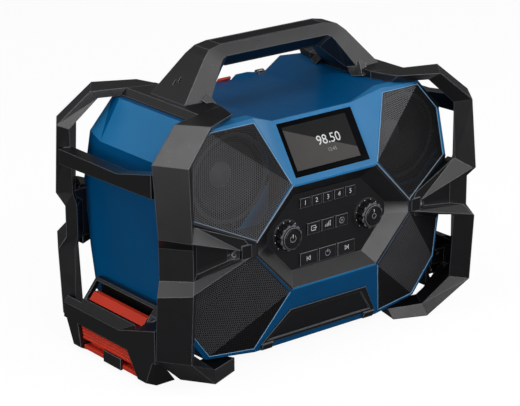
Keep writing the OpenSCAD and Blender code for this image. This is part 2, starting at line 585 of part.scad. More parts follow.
// ---- handle ----
ht = cage_h + handle_rise;
hs = function (p) [p[0] * kx, p[1] * ky, p[2]];
hA = [for (q = [
  [[0, -14, 0], [0, 14, 0], [0, 21, -14], [0, 8, -30], [0, -8, -30], [0, -21, -14]],
  [[84, -14, 0], [84, 14, 0], [80, 21.5, -14.2], [74, 8, -30], [74, -8, -30], [80, -21.5, -14.2]],
  [[101, -15, -3.5], [101, 15, -3.5], [86, 22.5, -17], [77, 9, -32], [77, -9, -32], [86, -22.5, -17]],
  [[112, -19, -13], [112, 19, -13], [91, 25, -23], [81, 11, -36], [81, -11, -36], [91, -25, -23]],
  [[154, -35, -61.9], [154, 35, -61.9], [117, 38, -61.9], [108, 24, -61.9], [108, -24, -61.9],
    [117, -38, -61.9]]
  ]) [for (p = q) hs([p[0], p[1], ht + (p[2] < -61 ? -handle_rise : p[2] * handle_rise / 62)])]];
module handle() color("#2b2d31") difference() {
  union() {
    mx2() loft(hA);
    // toes that hook over the rails' inner edges, front and rear
    mx2() for (s = [0, 1]) mirror([0, s, 0]) difference() {
      loft([for (q = [[[109, -24, 331], [119, -38, 338], [131, -38, 333], [131, -28, 329]],
        [[108, -36, 319.5], [113, -51, 322], [119, -51, 322], [119, -34, 319.5]]])
        [for (p = q) [p[0] * kx, p[1] * ky, rz + (p[2] - 329)]]]);
      rail();
      cab();
    }
  }
  translate([-72 * kx, -9 * ky, ht - 31]) cube([144 * kx, 18 * ky, 3.2]);
  mx2() for (s = [-1, 1]) translate([133 * kx, s * 22 * ky, rz - 1]) cylinder(r = 2.2, h = 16);
  // two drain slots in each leg's outer face
  mx2() for (q = [[138.5, 5.6, 17.3], [134.8, -0.6, 21.4]])
    translate([q[0] * kx, q[1], rz + q[2]]) rotate([0, -42, 0])
      translate([-7, -1.4, -3.6]) cube([14, 2.8, 7.2]);
}
module grip_pad() color("#0c0d0f")
  translate([-72 * kx, -7.9 * ky, ht - 30 * handle_rise / 62 - 1.2])
    cube([144 * kx, 15.8 * ky, 30 * (handle_rise / 62) - 27.8 + 1.2]);

// ---- battery door, pack and aerial ----
dy = function (z) z > pd0[2] ? -(pd0[1] + (z - pd0[2]) * (pa0[1] - pd0[1]) / (pa0[2] - pd0[2]))
  : -pd0[1];
module door_profile(z0, z1, o, t) {
  polygon([[dy(z0) + o, z0], [dy(z0) + o, pd0[2]], [dy(z1) + o, z1], [dy(z1) + o - t, z1],
    [dy(z0) + o - t, pd0[2] - 1], [dy(z0) + o - t, z0]]);
}
dk = door_x - 0.4;
module battery_door() color("#123f6b") difference() {
  union() {
    translate([-dk, 0, 0]) rotate([90, 0, 90]) linear_extrude(2 * dk)
      door_profile(104 * kz, 294 * kz, 0, door_t);
    for (s = [-1, 1]) hull() {
      translate([s * 28 * kx - 5, hinge_y, hinge_z]) cyl_x(4.5, 0, 10);
      translate([s * 28 * kx - 5, hinge_y - 1, 104 * kz]) cube([10, 5, 4]);
    }
  }
  translate([0, hinge_y, hinge_z]) cyl_x(pin_r + run_clear, -60 * kx, 60 * kx);
  at_back(0) translate([-6.4, -8, -29]) cube([12.8, 12, 13.4]);
}
module door_pin() color("#b4b7bc") translate([0, hinge_y, hinge_z]) cyl_x(pin_r, -50 * kx, 50 * kx);
module at_back(x) { translate([x, -pa0[1], pa0[2]]) rotate([disp_ang, 0, 0]) children(); }
module door_latch() color("#d2321f") at_back(0) {
  translate([-10, 0.35, -26]) cube([20, 3.2, 29.5]);
  translate([-6, -4, -22]) cube([12, 5, 6]);
  translate([-9, -6, -25]) cube([18, 2.2, 12]);
}
module battery_pack() color("#26282c") {
  translate([-38, 52 * ky, 102 * kz + 0.3]) cube([76, 62 * ky, 70 * kz]);
  translate([-26, 60 * ky, 172 * kz]) cube([52, 46 * ky, 22 * kz]);
}
module terminal_block() color("#3d4046")
  translate([-34, 48 * ky, 108 * kz]) cube([68, 3.6 * ky, 76 * kz]);
// aerial folded down the rear slope beside the door
ax = 61 * kx;
ah = 4.6;
aer_s = -5;
module at_aer() { at_back(ax) translate([0, 0, aer_s]) children(); }
module aerial_mount() color("#6a6d72") difference() {
  at_aer() {
    translate([-5.8, -4, -1]) cube([11.6, 8.6, 7.6]);
    translate([0, ah, 3]) cyl_x(3.2, -5.8, 5.8);
  }
  at_aer() translate([-3.7, 0.4, -20]) cube([7.4, 30, 40]);
  at_aer() translate([0, ah, 3]) cyl_x(1.5 + run_clear, -12, 12);
  cab();
}
module aerial_tube() color("#8f9398") at_aer() {
  difference() {
    union() {
      translate([-3.2, ah - 3.2, -6]) cube([6.4, 6.4, 9]);
      translate([0, ah, 3]) cyl_x(3.2, -3.2, 3.2);
      translate([0, ah, -5 - aer_l / 2]) cylinder(r = aer_r, h = aer_l / 2);
    }
    translate([0, ah, -7 - aer_l / 2]) cylinder(r = aer_r - 1.2, h = aer_l / 2);
  }
  translate([0, ah, 3]) cyl_x(1.5, -5.8, 5.8);
}
module aerial_rod() color("#c9ccd1") at_aer() translate([0, ah, 0]) {
  translate([0, 0, -6 - aer_l / 2]) cylinder(r = aer_r - 1.2 - run_clear, h = aer_l / 2 - 2);
  translate([0, 0, -10 - aer_l / 2]) cylinder(r = 3, h = 4.6);
}

front_bezel();
main_shell();
grille_upper_left();
grille_upper_right();
grille_lower_left();
grille_lower_right();
bass_hood();
display_window();
display_module();
control_panel();
keypad_board();
volume_knob();
tuning_knob();
knob_shaft_left();
knob_shaft_right();
encoder_bodies();
preset_key_1();
preset_key_2();
preset_key_3();
preset_key_4();
preset_key_5();
mid_key_left();
mid_key_centre();
mid_key_right();
low_key_left();
low_key_centre();
low_key_right();
speaker_basket_left();
speaker_basket_right();
speaker_cone_left();
speaker_cone_right();
bass_driver();
hoop_front_left();
hoop_front_right();
hoop_rear_left();
hoop_rear_right();
rail_left();
rail_right();
low_bar_left();
low_bar_right();
feet();
cage_screws();
handle();
grip_pad();
latch_left();
latch_right();
hook_left();
hook_right();
latch_pins();
battery_door();
door_pin();
door_latch();
battery_pack();
terminal_block();
aerial_mount();
aerial_tube();
aerial_rod();
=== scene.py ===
import json
import math
import bmesh
import bpy
import numpy as np
from mathutils import Matrix, Vector

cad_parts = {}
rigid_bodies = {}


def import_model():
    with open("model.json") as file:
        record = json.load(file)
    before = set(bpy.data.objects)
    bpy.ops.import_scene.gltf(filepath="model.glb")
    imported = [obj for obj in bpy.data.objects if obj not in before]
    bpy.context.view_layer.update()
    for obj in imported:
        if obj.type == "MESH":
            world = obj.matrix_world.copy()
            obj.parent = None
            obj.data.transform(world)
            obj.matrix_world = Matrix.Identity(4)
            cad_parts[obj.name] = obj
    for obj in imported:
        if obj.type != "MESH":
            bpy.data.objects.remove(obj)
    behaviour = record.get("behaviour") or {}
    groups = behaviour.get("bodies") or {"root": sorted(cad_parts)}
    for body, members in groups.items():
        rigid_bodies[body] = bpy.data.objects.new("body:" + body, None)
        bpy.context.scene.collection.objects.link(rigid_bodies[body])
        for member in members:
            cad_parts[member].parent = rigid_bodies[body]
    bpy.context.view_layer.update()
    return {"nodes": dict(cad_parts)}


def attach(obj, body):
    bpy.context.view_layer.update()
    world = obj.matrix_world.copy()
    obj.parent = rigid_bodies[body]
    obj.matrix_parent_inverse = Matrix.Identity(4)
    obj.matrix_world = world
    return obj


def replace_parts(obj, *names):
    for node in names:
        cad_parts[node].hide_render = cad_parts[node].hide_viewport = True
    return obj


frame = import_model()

SCENE = bpy.context.scene

# ---------------------------------------------------------------------------
# Camera. It stands to the left front of the radio and above it, turned to the
# right, dipped and hardly rolled, with a long lens.
# ---------------------------------------------------------------------------
# metres from the middle of the radio's foot, and degrees
STANDS_AT = Vector((-1.57113, -1.97709, 1.04456))
TURNED, DIPPED, ROLLED = (math.radians(a) for a in (38.25052, 19.24113, -0.33838))
# focal length and width of the view in the view's own dots, and the sensor's width in mm
FOCAL, VIEW_WIDE, SENSOR = 2100.0, 520.0, 36.0
cam_data = bpy.data.cameras.new("Camera")
cam_data.sensor_width = SENSOR
cam_data.lens = FOCAL / VIEW_WIDE * SENSOR
cam_data.clip_start, cam_data.clip_end = 0.1, 60.0
cam = bpy.data.objects.new("Camera", cam_data)
SCENE.collection.objects.link(cam)
cam.matrix_world = (Matrix.Translation(STANDS_AT) @ Matrix.Rotation(-TURNED, 4, "Z")
                    @ Matrix.Rotation(math.pi / 2 - DIPPED, 4, "X")
                    @ Matrix.Rotation(ROLLED, 4, "Z"))
SCENE.camera = cam

# ---------------------------------------------------------------------------
# Studio. Square soft boxes stand three metres off, all round and at many heights,
# and look at the radio's middle. Floor and surround look white, but lend the radio
# only a little light and hardly show in its gloss.
# ---------------------------------------------------------------------------
SCENE.view_settings.view_transform = "Standard"
BOX_AWAY, BOX_SIDE = 3.0, 1.2
MIDDLE = Vector((0, 0, 0.2))
SURROUND_LIGHT, SURROUND_MIRRORED = 0.07, 0.05
FLOOR_GLOW, FLOOR_MIRRORED, FLOOR_HALF = 0.93, 0.03, 9
# degrees round from straight in front, towards the right; degrees up; watts
SOFT_BOXES = {"low_left": (-84, 6, 16), "high_left": (-80, 65, 17), "low_front_left": (-54, 3, 9),
              "over_camera": (-27, 32, 18), "front": (-15, 20, 4), "low_front": (-10, 4, 15),
              "mid_front": (18, 32, 11), "high_front": (5, 56, 7.5), "front_right": (44, 19, 10),
              "high_right": (62, 45, 3.5), "right": (88, 22, 7), "low_right": (78, 5, 5),
              "left": (-105, 30, 10), "back_left": (-150, 30, 1.5), "high_back": (175, 48, 3.2)}
for name, (round_deg, up_deg, watts) in SOFT_BOXES.items():
    a, e = math.radians(round_deg), math.radians(up_deg)
    way = Vector((math.sin(a) * math.cos(e), -math.cos(a) * math.cos(e), math.sin(e)))
    data = bpy.data.lights.new("soft_box_" + name, "AREA")
    data.size = BOX_SIDE
    data.energy = watts
    box = bpy.data.objects.new("soft_box_" + name, data)
    box.location = MIDDLE + way * BOX_AWAY
    box.rotation_euler = (-way).to_track_quat("-Z", "Y").to_euler()
    SCENE.collection.objects.link(box)


def seen_white(nt, glossy):
    """Share of plain white a ray sees: all for camera and clear rays, a part for mirror rays."""
    path = nt.nodes.new("ShaderNodeLightPath")
    part = nt.nodes.new("ShaderNodeMath")
    part.operation = "MULTIPLY_ADD"
    part.inputs[1].default_value = glossy
    nt.links.new(path.outputs["Is Glossy Ray"], part.inputs[0])
    nt.links.new(path.outputs["Is Camera Ray"], part.inputs[2])
    both = nt.nodes.new("ShaderNodeMath")
    both.operation = "ADD"
    both.use_clamp = True
    nt.links.new(part.outputs[0], both.inputs[0])
    nt.links.new(path.outputs["Is Transmission Ray"], both.inputs[1])
    return both.outputs[0]


world = bpy.data.worlds.new("World")
SCENE.world = world
world.use_nodes = True
nt = world.node_tree
nt.nodes.clear()
dim = nt.nodes.new("ShaderNodeBackground")
dim.inputs["Strength"].default_value = SURROUND_LIGHT
white = nt.nodes.new("ShaderNodeBackground")
white.inputs["Color"].default_value = (1, 1, 1, 1)
mix = nt.nodes.new("ShaderNodeMixShader")
nt.links.new(seen_white(nt, SURROUND_MIRRORED), mix.inputs[0])
nt.links.new(dim.outputs[0], mix.inputs[1])
nt.links.new(white.outputs[0], mix.inputs[2])
nt.links.new(mix.outputs[0], nt.nodes.new("ShaderNodeOutputWorld").inputs["Surface"])

floor_mat = bpy.data.materials.new("floor_pale")
floor_mat.use_nodes = True
nt = floor_mat.node_tree
paint = nt.nodes["Principled BSDF"]
paint.inputs["Base Color"].default_value = (0.1, 0.1, 0.102, 1)
paint.inputs["Roughness"].default_value = 0.9
paint.inputs["Specular IOR Level"].default_value = 0.1
glow = nt.nodes.new("ShaderNodeEmission")
glow.inputs["Color"].default_value = (1, 1, 1, 1)
level = nt.nodes.new("ShaderNodeMath")
level.operation = "MULTIPLY"
level.inputs[1].default_value = FLOOR_GLOW
nt.links.new(seen_white(nt, FLOOR_MIRRORED), level.inputs[0])
nt.links.new(level.outputs[0], glow.inputs["Strength"])
both = nt.nodes.new("ShaderNodeAddShader")
nt.links.new(paint.outputs[0], both.inputs[0])
nt.links.new(glow.outputs[0], both.inputs[1])
nt.links.new(both.outputs[0], nt.nodes["Material Output"].inputs["Surface"])
me = bpy.data.meshes.new("floor")
me.from_pydata([(x * FLOOR_HALF, y * FLOOR_HALF, 0)
                for x, y in ((-1, -1), (1, -1), (1, 1), (-1, 1))], [], [(0, 1, 2, 3)])
me.materials.append(floor_mat)
floor = bpy.data.objects.new("floor", me)
SCENE.collection.objects.link(floor)


# ---------------------------------------------------------------------------
# Cabinet: two deep mouldings in blue ABS, a front bezel and a rear shell. The
# mould leaves a faint grain, soft edges with a painted highlight, and sharp creases.
# ---------------------------------------------------------------------------
NODES = frame["nodes"]
MM = 0.001
# detail of the noise behind tone, roughness and grain, and the noise that gives the ends of
# the tone's drift and of the roughness, which wanders by so much either way
DRIFT_DETAIL, DRIFT_FROM, DRIFT_TO = 4.0, 0.35, 0.65
WEAR_SCALE, WEAR_DETAIL, WEAR_FROM, WEAR_TO, WANDER = 60.0, 5.0, 0.3, 0.7, 0.02
GRAIN_DETAIL = 3.0
# cosines of a rounded corner's lean at which the painted edge highlight starts and is full
HIGHLIGHT_STARTS, HIGHLIGHT_FULL, ROUNDING_SAMPLES = 0.995, 0.94, 6
# metres within which points are one, or an edge has no length, and the fold that is still flat
SAME_POINT, NO_LENGTH, STILL_FLAT = 2e-5, 1e-5, math.radians(1.2)
# how strongly large faces lead the shading of the rounded edges beside them
LARGE_FACES_LEAD = 80
# places in a piece's list of finishes: the second is the rounded edges', mostly a painted highlight;
# the last two are for what mark paints
MOST, EDGES, MARKED, MARKED_TOO = range(4)


def tone(h):
    """A display colour such as 3f78a8 as linear light."""
    c = np.array([int(h[i:i + 2], 16) / 255.0 for i in (0, 2, 4)])
    return np.where(c <= 0.04045, c / 12.92, ((c + 0.055) / 1.055) ** 2.4)


def noise(nt, tc, scale, detail):
    """Noise on object coordinates, between nought and one."""
    n = nt.nodes.new("ShaderNodeTexNoise")
    n.inputs["Scale"].default_value = scale
    n.inputs["Detail"].default_value = detail
    nt.links.new(tc.outputs["Object"], n.inputs["Vector"])
    return n.outputs["Fac"]


def stretched(nt, value, start, end, low=0.0, high=1.0):
    """A value stretched evenly, so that start becomes low and end becomes high."""
    r = nt.nodes.new("ShaderNodeMapRange")
    for socket, v in (("From Min", start), ("From Max", end), ("To Min", low), ("To Max", high)):
        r.inputs[socket].default_value = v
    nt.links.new(value, r.inputs["Value"])
    return r.outputs["Result"]


def rubbed_corners(nt, colour, ridge, ridge_mm):
    """Rounds the corners' shading by ridge_mm and paints a highlight in the ridge tone where they
    lean.

    The lean is the dot product of the rounded normal and the flat's own normal.
    """
    rounded = nt.nodes.new("ShaderNodeBevel")
    rounded.samples = ROUNDING_SAMPLES
    rounded.inputs["Radius"].default_value = ridge_mm * MM
    flat = nt.nodes.new("ShaderNodeNewGeometry")
    lean = nt.nodes.new("ShaderNodeVectorMath")
    lean.operation = "DOT_PRODUCT"
    nt.links.new(rounded.outputs["Normal"], lean.inputs[0])
    nt.links.new(flat.outputs["True Normal"], lean.inputs[1])
    painted_highlight = nt.nodes.new("ShaderNodeMix")
    painted_highlight.data_type = "RGBA"
    nt.links.new(stretched(nt, lean.outputs["Value"], HIGHLIGHT_STARTS, HIGHLIGHT_FULL), painted_highlight.inputs["Factor"])
    nt.links.new(colour, painted_highlight.inputs["A"])
    painted_highlight.inputs["B"].default_value = (*tone(ridge), 1)
    return painted_highlight.outputs["Result"], rounded.outputs["Normal"]


def moulded(name, colour, rough, spread=0.12, grain=900.0, depth=0.25, strength=0.25,
            blotch=14.0, spec=0.5, metal=0.0, ridge=None, ridge_mm=1.3):
    """A finish: the tone drifts by spread, roughness wanders, fine grain is a bump in mm.

    With a ridge tone the corners are rounded by ridge_mm, and that tone is painted on them as a
    highlight.
    """
    m = bpy.data.materials.new(name)
    m.use_nodes = True
    nt = m.node_tree
    b = nt.nodes["Principled BSDF"]
    b.inputs["Specular IOR Level"].default_value = spec
    b.inputs["Metallic"].default_value = metal
    tc = nt.nodes.new("ShaderNodeTexCoord")
    ramp = nt.nodes.new("ShaderNodeValToRGB")
    ramp.color_ramp.elements[0].color = (*(tone(colour) * (1 - spread)), 1)
    ramp.color_ramp.elements[1].color = (*(tone(colour) * (1 + spread)), 1)
    drift = stretched(nt, noise(nt, tc, blotch, DRIFT_DETAIL), DRIFT_FROM, DRIFT_TO)
    nt.links.new(drift, ramp.inputs["Fac"])
    shade, normal = ramp.outputs["Color"], None
    if ridge:
        shade, normal = rubbed_corners(nt, shade, ridge, ridge_mm)
    nt.links.new(shade, b.inputs["Base Color"])
    wear = stretched(nt, noise(nt, tc, WEAR_SCALE, WEAR_DETAIL), WEAR_FROM, WEAR_TO,
                     rough - WANDER, rough + WANDER)
    nt.links.new(wear, b.inputs["Roughness"])
    if strength:
        bump = nt.nodes.new("ShaderNodeBump")
        bump.inputs["Strength"].default_value = strength
        bump.inputs["Distance"].default_value = depth * MM
        nt.links.new(noise(nt, tc, grain, GRAIN_DETAIL), bump.inputs["Height"])
        nt.links.new(bump.outputs["Normal"], b.inputs["Normal"])
        if normal:
            nt.links.new(normal, bump.inputs["Normal"])
    return m


def put(name, me, body, mats):
    """Puts a mesh into the scene with its finishes, on its body."""
    for m in mats:
        me.materials.append(m)
    obj = bpy.data.objects.new(name, me)
    SCENE.collection.objects.link(obj)
    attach(obj, body)
    return obj


def finished(n, mats, edge, angle=26.0, smooth=34.0, segs=2, mark=None):
    """A copy of a node with its flats joined and its edges rounded by edge mm.

    Folds of more than angle degrees are rounded, in the second finish, mostly a painted highlight,
    and those of more than smooth degrees stay sharp in the shading. Mark may paint further faces.
    """
    me = NODES[n].data.copy()
    me.materials.clear()
    me.name = n + "_finish"
    bm = bmesh.new()
    bm.from_mesh(me)
    bmesh.ops.remove_doubles(bm, verts=bm.verts, dist=SAME_POINT)
    bmesh.ops.dissolve_degenerate(bm, edges=bm.edges, dist=NO_LENGTH)
    bmesh.ops.dissolve_limit(bm, angle_limit=STILL_FLAT, verts=bm.verts, edges=bm.edges,
                             delimit={"NORMAL"})
    for f in bm.faces:
        f.material_index = MOST
        f.smooth = True
    if mark:
        mark(bm)
    bm.to_mesh(me)
    bm.free()
    me.set_sharp_from_angle(angle=math.radians(smooth))
    obj = put(n + "_finish", me, NODES[n].parent.name.split(":", 1)[1], mats)
    bevel = obj.modifiers.new("Round", "BEVEL")
    bevel.width = edge * MM
    bevel.segments = segs
    bevel.limit_method = "ANGLE"
    bevel.angle_limit = math.radians(angle)
    bevel.material = EDGES
    normals = obj.modifiers.new("Normals", "WEIGHTED_NORMAL")
    normals.keep_sharp = True
    normals.weight = LARGE_FACES_LEAD
    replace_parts(obj, n)


BLUE = moulded("cabinet_blue", "005286", 0.34, spread=0.07, strength=0.12, spec=0.22)
# a pale blue painted highlight on the rounded edges and trim lips
BLUE_EDGE_HIGHLIGHT = moulded("cabinet_blue_edge", "86b8e2", 0.3, spread=0.06, strength=0.08)
# the bezel's own lighter blue, which on the shell's shoulders is a painted highlight
BLUE_FRONT = moulded("front_blue", "2377ae", 0.34, spread=0.06, strength=0.1, spec=0.4)
# black painted as shade in the recesses and on faces turned into the dark
PAINTED_SHADE_BLACK = moulded("black_deep", "0c0d0f", 0.6, spread=0.2, strength=0.3, spec=0.2)


def plane_at(a, b, c, x, z):
    """Depth at x, z of the plane through three corners."""
    n = np.cross(np.subtract(b, a), np.subtract(c, a))
    return a[1] - (n[0] * (x - a[0]) + n[2] * (z - a[2])) / n[1]


def corner(a, b, c, x, z):
    """The point at x, z of the plane through three corners."""
    return np.array((x, plane_at(a, b, c, x, z), z))


# corners of the right front quarter in millimetres; the left is its mirror
PD1, PB1, PB2 = np.array([(66, -133, 236), (101, -100, 319), (168, -96, 315)], float)
PX1, PX2, PL1 = np.array([(123, -133, 176), (123, -133, 159), (68.5, -133, 101.5)], float)
PB5, PB7, PB8 = np.array([(208, -96, 128), (170, -90, 23), (99, -97, 16)], float)
PB4 = corner(PD1, PB2, PX1, 206, 213)
PB6 = corner(PX2, PL1, PB7, 203, 68)
# the grilles' outlines, each folded over two or three flats
UPPER = [PD1 + 0.02 * (PB2 - PD1), corner(PD1, PB1, PB2, 101.5, 313.5),
         PD1 + 0.965 * (PB2 - PD1), corner(PD1, PB2, PX1, 197.5, 275.5),
         corner(PD1, PB2, PX1, 200.5, 214.5), corner(PD1, PB2, PX1, 122.4, 178.2)]
LOWER = [PX2 + 0.012 * (PB6 - PX2), corner(PX2, PB5, PB6, 202, 125.5),
         PX2 + 0.955 * (PB6 - PX2), PL1 + 0.955 * (PB7 - PL1),
         corner(PL1, PB7, PB8, 101.5, 22), PL1 + 0.022 * (PB7 - PL1)]
BAFFLE_Y = -97.0
# mm behind its flat at which a face is in the recess and takes painted shade, and mm within which it
# is the baffle's
RECESSED, ON_BAFFLE = 0.6, 0.3
# how far a normal leans down on the flats with painted shade in deeper blue, and out, up and ahead
# on the shoulders with a painted highlight in lighter blue
LEANS_DOWN = -0.2
SHOULDER_OUT, SHOULDER_UP, SHOULDER_AHEAD = 0.6, 0.4, 0.3


def within(outline, x, z):
    """True where x, z is inside the outline's front view: on one side of every edge."""
    p = np.array(outline)[:, [0, 2]]
    q = np.roll(p, -1, axis=0)
    side = (q - p)[:, :1] * (z - p[:, 1:]) - (q - p)[:, 1:] * (x - p[:, :1])
    return (side > 0).all(axis=0) | (side < 0).all(axis=0)


def blacken_recess(bm):
    """Paints shade: black on the bezel's faces behind the grilles, by their depth under the flats.
    """
    c = np.array([f.calc_center_median() for f in bm.faces]) / MM
    x, y, z = np.abs(c[:, 0]), c[:, 1], c[:, 2]
    up = np.maximum(plane_at(PD1, PB1, PB2, x, z), plane_at(PD1, PB2, PX1, x, z))
    low = np.max([plane_at(PX2, PB5, PB6, x, z), plane_at(PX2, PL1, PB7, x, z),
                  plane_at(PL1, PB7, PB8, x, z)], axis=0)
    deep = (within(UPPER, x, z) & (y > up + RECESSED)) | (within(LOWER, x, z) & (y > low + RECESSED))
    baffle = np.abs(y - BAFFLE_Y) < ON_BAFFLE
    for f, dark in zip(bm.faces, deep & ~baffle):
        if dark:
            f.material_index = MARKED


def face_finishes(bm):
    """Paints shade: the deeper blue on flats that lean downwards, and black in the recess."""
    for f in bm.faces:
        f.material_index = MARKED_TOO if f.normal.z < LEANS_DOWN else MOST
    blacken_recess(bm)


def pale_shoulders(bm):
    """Paints a highlight: the lighter front blue on the shoulder flats, which lean up and outwards.
    """
    for f in bm.faces:
        x, y, z = f.normal
        if abs(x) > SHOULDER_OUT and z > SHOULDER_UP and abs(y) < SHOULDER_AHEAD:
            f.material_index = MARKED


finished("main_shell", [BLUE, BLUE_EDGE_HIGHLIGHT, BLUE_FRONT], 1.4, mark=pale_shoulders)
finished("front_bezel", [BLUE_FRONT, BLUE_EDGE_HIGHLIGHT, PAINTED_SHADE_BLACK, BLUE], 1.1,
         mark=face_finishes)


# ---------------------------------------------------------------------------
# Speakers: a pressed frame behind the baffle, a paper cone with pressed ribs,
# a rubber surround and a bright dust cap, in black felt under each upper grille.
# ---------------------------------------------------------------------------
BOTH = (("left", -1), ("right", 1))
# metres within which a seam closes, and the fold that stays sharp on a turned piece
SEAM, TURNED_SHARP = 1e-6, 38


def shell_of(name, verts, faces, body, mats, which=0, smooth=None):
    """A piece from points in millimetres, faces, and which finish each face has."""
    me = bpy.data.meshes.new(name)
    me.from_pydata((np.asarray(verts) * MM).tolist(), [], [list(f) for f in faces])
    me.polygons.foreach_set("material_index", np.broadcast_to(which, len(faces)).astype(int))
    if smooth:
        me.polygons.foreach_set("use_smooth", [True] * len(faces))
        bm = bmesh.new()
        bm.from_mesh(me)
        bmesh.ops.remove_doubles(bm, verts=bm.verts, dist=SEAM)
        bmesh.ops.recalc_face_normals(bm, faces=bm.faces)
        bm.to_mesh(me)
        bm.free()
        me.set_sharp_from_angle(angle=math.radians(smooth))
    return put(name, me, body, mats)


def rings_joined(rows, cols):
    """Quads between neighbouring rows of points, each row closed on itself."""
    j, k = np.arange(rows - 1)[:, None] * cols, np.arange(cols)[None, :]
    m = (k + 1) % cols
    return np.stack([j + k, j + m, j + m + cols, j + k + cols], axis=-1).reshape(-1, 4).tolist()


def turned(name, centre, rings, body, mats, which=0, *, steps, cut=None, ends="both"):
    """Turned about a Y axis through centre, from rings of a depth y and a radius r.

    With a cut each ring has a share too, and at angle t its radius is r less share times cut(t).
    Ends says which rings are closed with a face: both, the last one, or none.
    """
    rings = np.array(rings, float)
    y, r = rings[:, 0], rings[:, 1]
    t = np.arange(steps) * 2 * math.pi / steps
    rad = r[:, None] - (rings[:, 2:] * cut(t) if cut else 0 * t)
    verts = np.stack([centre[0] + rad * np.sin(t), y[:, None] + 0 * rad,
                      centre[1] + rad * np.cos(t)], axis=-1).reshape(-1, 3)
    faces = rings_joined(len(rings), steps)
    which = np.repeat(np.broadcast_to(which, len(rings) - 1), steps).tolist()
    if ends in ("both", "last"):
        faces.append(list(range(len(verts) - steps, len(verts))))
        which.append(which[-1])
    if ends == "both":
        faces.append(list(range(steps))[::-1])
        which.append(which[0])
    return shell_of(name, verts, faces, body, mats, which, smooth=TURNED_SHARP)


SPEAKER_X, SPEAKER_Z = 135, 250
FRAME = moulded("speaker_frame", "0a0a0b", 0.5, spread=0.15, strength=0.3, spec=0.25)
RING = moulded("speaker_ring", "3a3a3e", 0.35, spread=0.12, strength=0.2)
RUBBER = moulded("rubber_black", "161719", 0.72, spread=0.15, strength=0.5, spec=0.25)
CONE = moulded("speaker_cone", "1a1a1c", 0.6, spread=0.2, strength=0.5, blotch=60.0)
CAP = moulded("speaker_cap", "5c5c60", 0.4, spread=0.1, strength=0.3, blotch=60.0)
FELT = moulded("baffle_felt", "101113", 0.85, spread=0.25, depth=0.4, strength=0.6, spec=0.15)
# depth and radius: surround roll, ribbed cone, dust cap; then the finish between two rings
CONE_RINGS = [(-93.9, 50.6), (-95.3, 49.6), (-96.2, 47.8), (-95.7, 45.8), (-94.2, 44.4),
              (-93.0, 43.8), (-91.9, 43.2), (-89.4, 39.4), (-89.9, 38.8), (-86.9, 33.8),
              (-87.4, 33.2), (-84.4, 27.6), (-84.9, 27.0), (-81.6, 21.4), (-78.4, 16.2),
              (-79.8, 14.9), (-82.6, 12.6), (-84.8, 9.2), (-86.0, 5.0), (-86.3, 0.8)]
CONE_PARTS = [1] * 5 + [0] * 9 + [2] * 5
# the ring, and one of its screws: how far before the baffle, and radius
RING_RINGS = [(BAFFLE_Y - up, r) for up, r in ((0, 51.7), (1.3, 52.0), (1.9, 52.8), (1.9, 54.6),
                                              (1.2, 55.8), (0, 56.2), (0, 51.7))]
SCREW_RINGS = [(BAFFLE_Y - up, r) for up, r in ((-0.1, 2.4), (1.0, 2.3), (1.7, 1.6), (1.9, 0.4))]
SCREW_REACH, FIRST_SCREW = 58.9, 5
# felt outline in front view, round the speaker; one low corner stays bare
FELT_EDGE = np.array([(74.5, 236), (101, 314), (166, 314), (203, 279), (203, 224), (168, 188),
                      (120, 184)], float)
FELT_HOLE, FELT_THICK, STEPS = 51.6, 0.3, 96


def felt_reach(t):
    """How far the felt goes from the speaker's centre at angle t: to the nearest edge line."""
    p, q = FELT_EDGE, np.roll(FELT_EDGE, -1, axis=0)
    n = np.stack([(q - p)[:, 1], -(q - p)[:, 0]], axis=1)
    far = ((p - (SPEAKER_X, SPEAKER_Z)) * n).sum(axis=1)
    n, far = n * np.sign(far)[:, None], np.abs(far)
    along = n @ np.stack([np.sin(t), np.cos(t)])
    with np.errstate(divide="ignore"):
        return np.where(along > 0, far[:, None] / along, np.inf).min(axis=0)


t = np.arange(STEPS) * 2 * math.pi / STEPS
for s, g in BOTH:
    x = g * SPEAKER_X
    finished("speaker_basket_" + s, [FRAME, FRAME], 0.4)
    cone = turned("speaker_cone_%s_finish" % s, (x, SPEAKER_Z), CONE_RINGS, "cabinet",
                  [CONE, RUBBER, CAP], CONE_PARTS, steps=STEPS, ends="last")
    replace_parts(cone, "speaker_cone_" + s)
    reach = np.stack([np.full(STEPS, FELT_HOLE), felt_reach(t)])
    back, front = [np.stack([g * (SPEAKER_X + reach * np.sin(t)), reach * 0 + y,
                             SPEAKER_Z + reach * np.cos(t)], axis=-1)
                   for y in (BAFFLE_Y, BAFFLE_Y - FELT_THICK)]
    shell_of("baffle_felt_" + s, np.concatenate([back[0], back[1], front[1], front[0], back[0]]),
             rings_joined(5, STEPS), "cabinet", [FELT], smooth=30)
    turned("speaker_ring_" + s, (x, SPEAKER_Z), RING_RINGS, "cabinet", [RING],
           steps=STEPS, ends="none")
    for k in range(4):
        a = math.radians(FIRST_SCREW + 90 * k)
        turned("speaker_screw_%s_%d" % (s, k), (x + g * SCREW_REACH * math.sin(a),
               SPEAKER_Z + SCREW_REACH * math.cos(a)), SCREW_RINGS, "cabinet", [RING],
               steps=20)
finished("bass_driver", [FRAME, FRAME], 0.5)


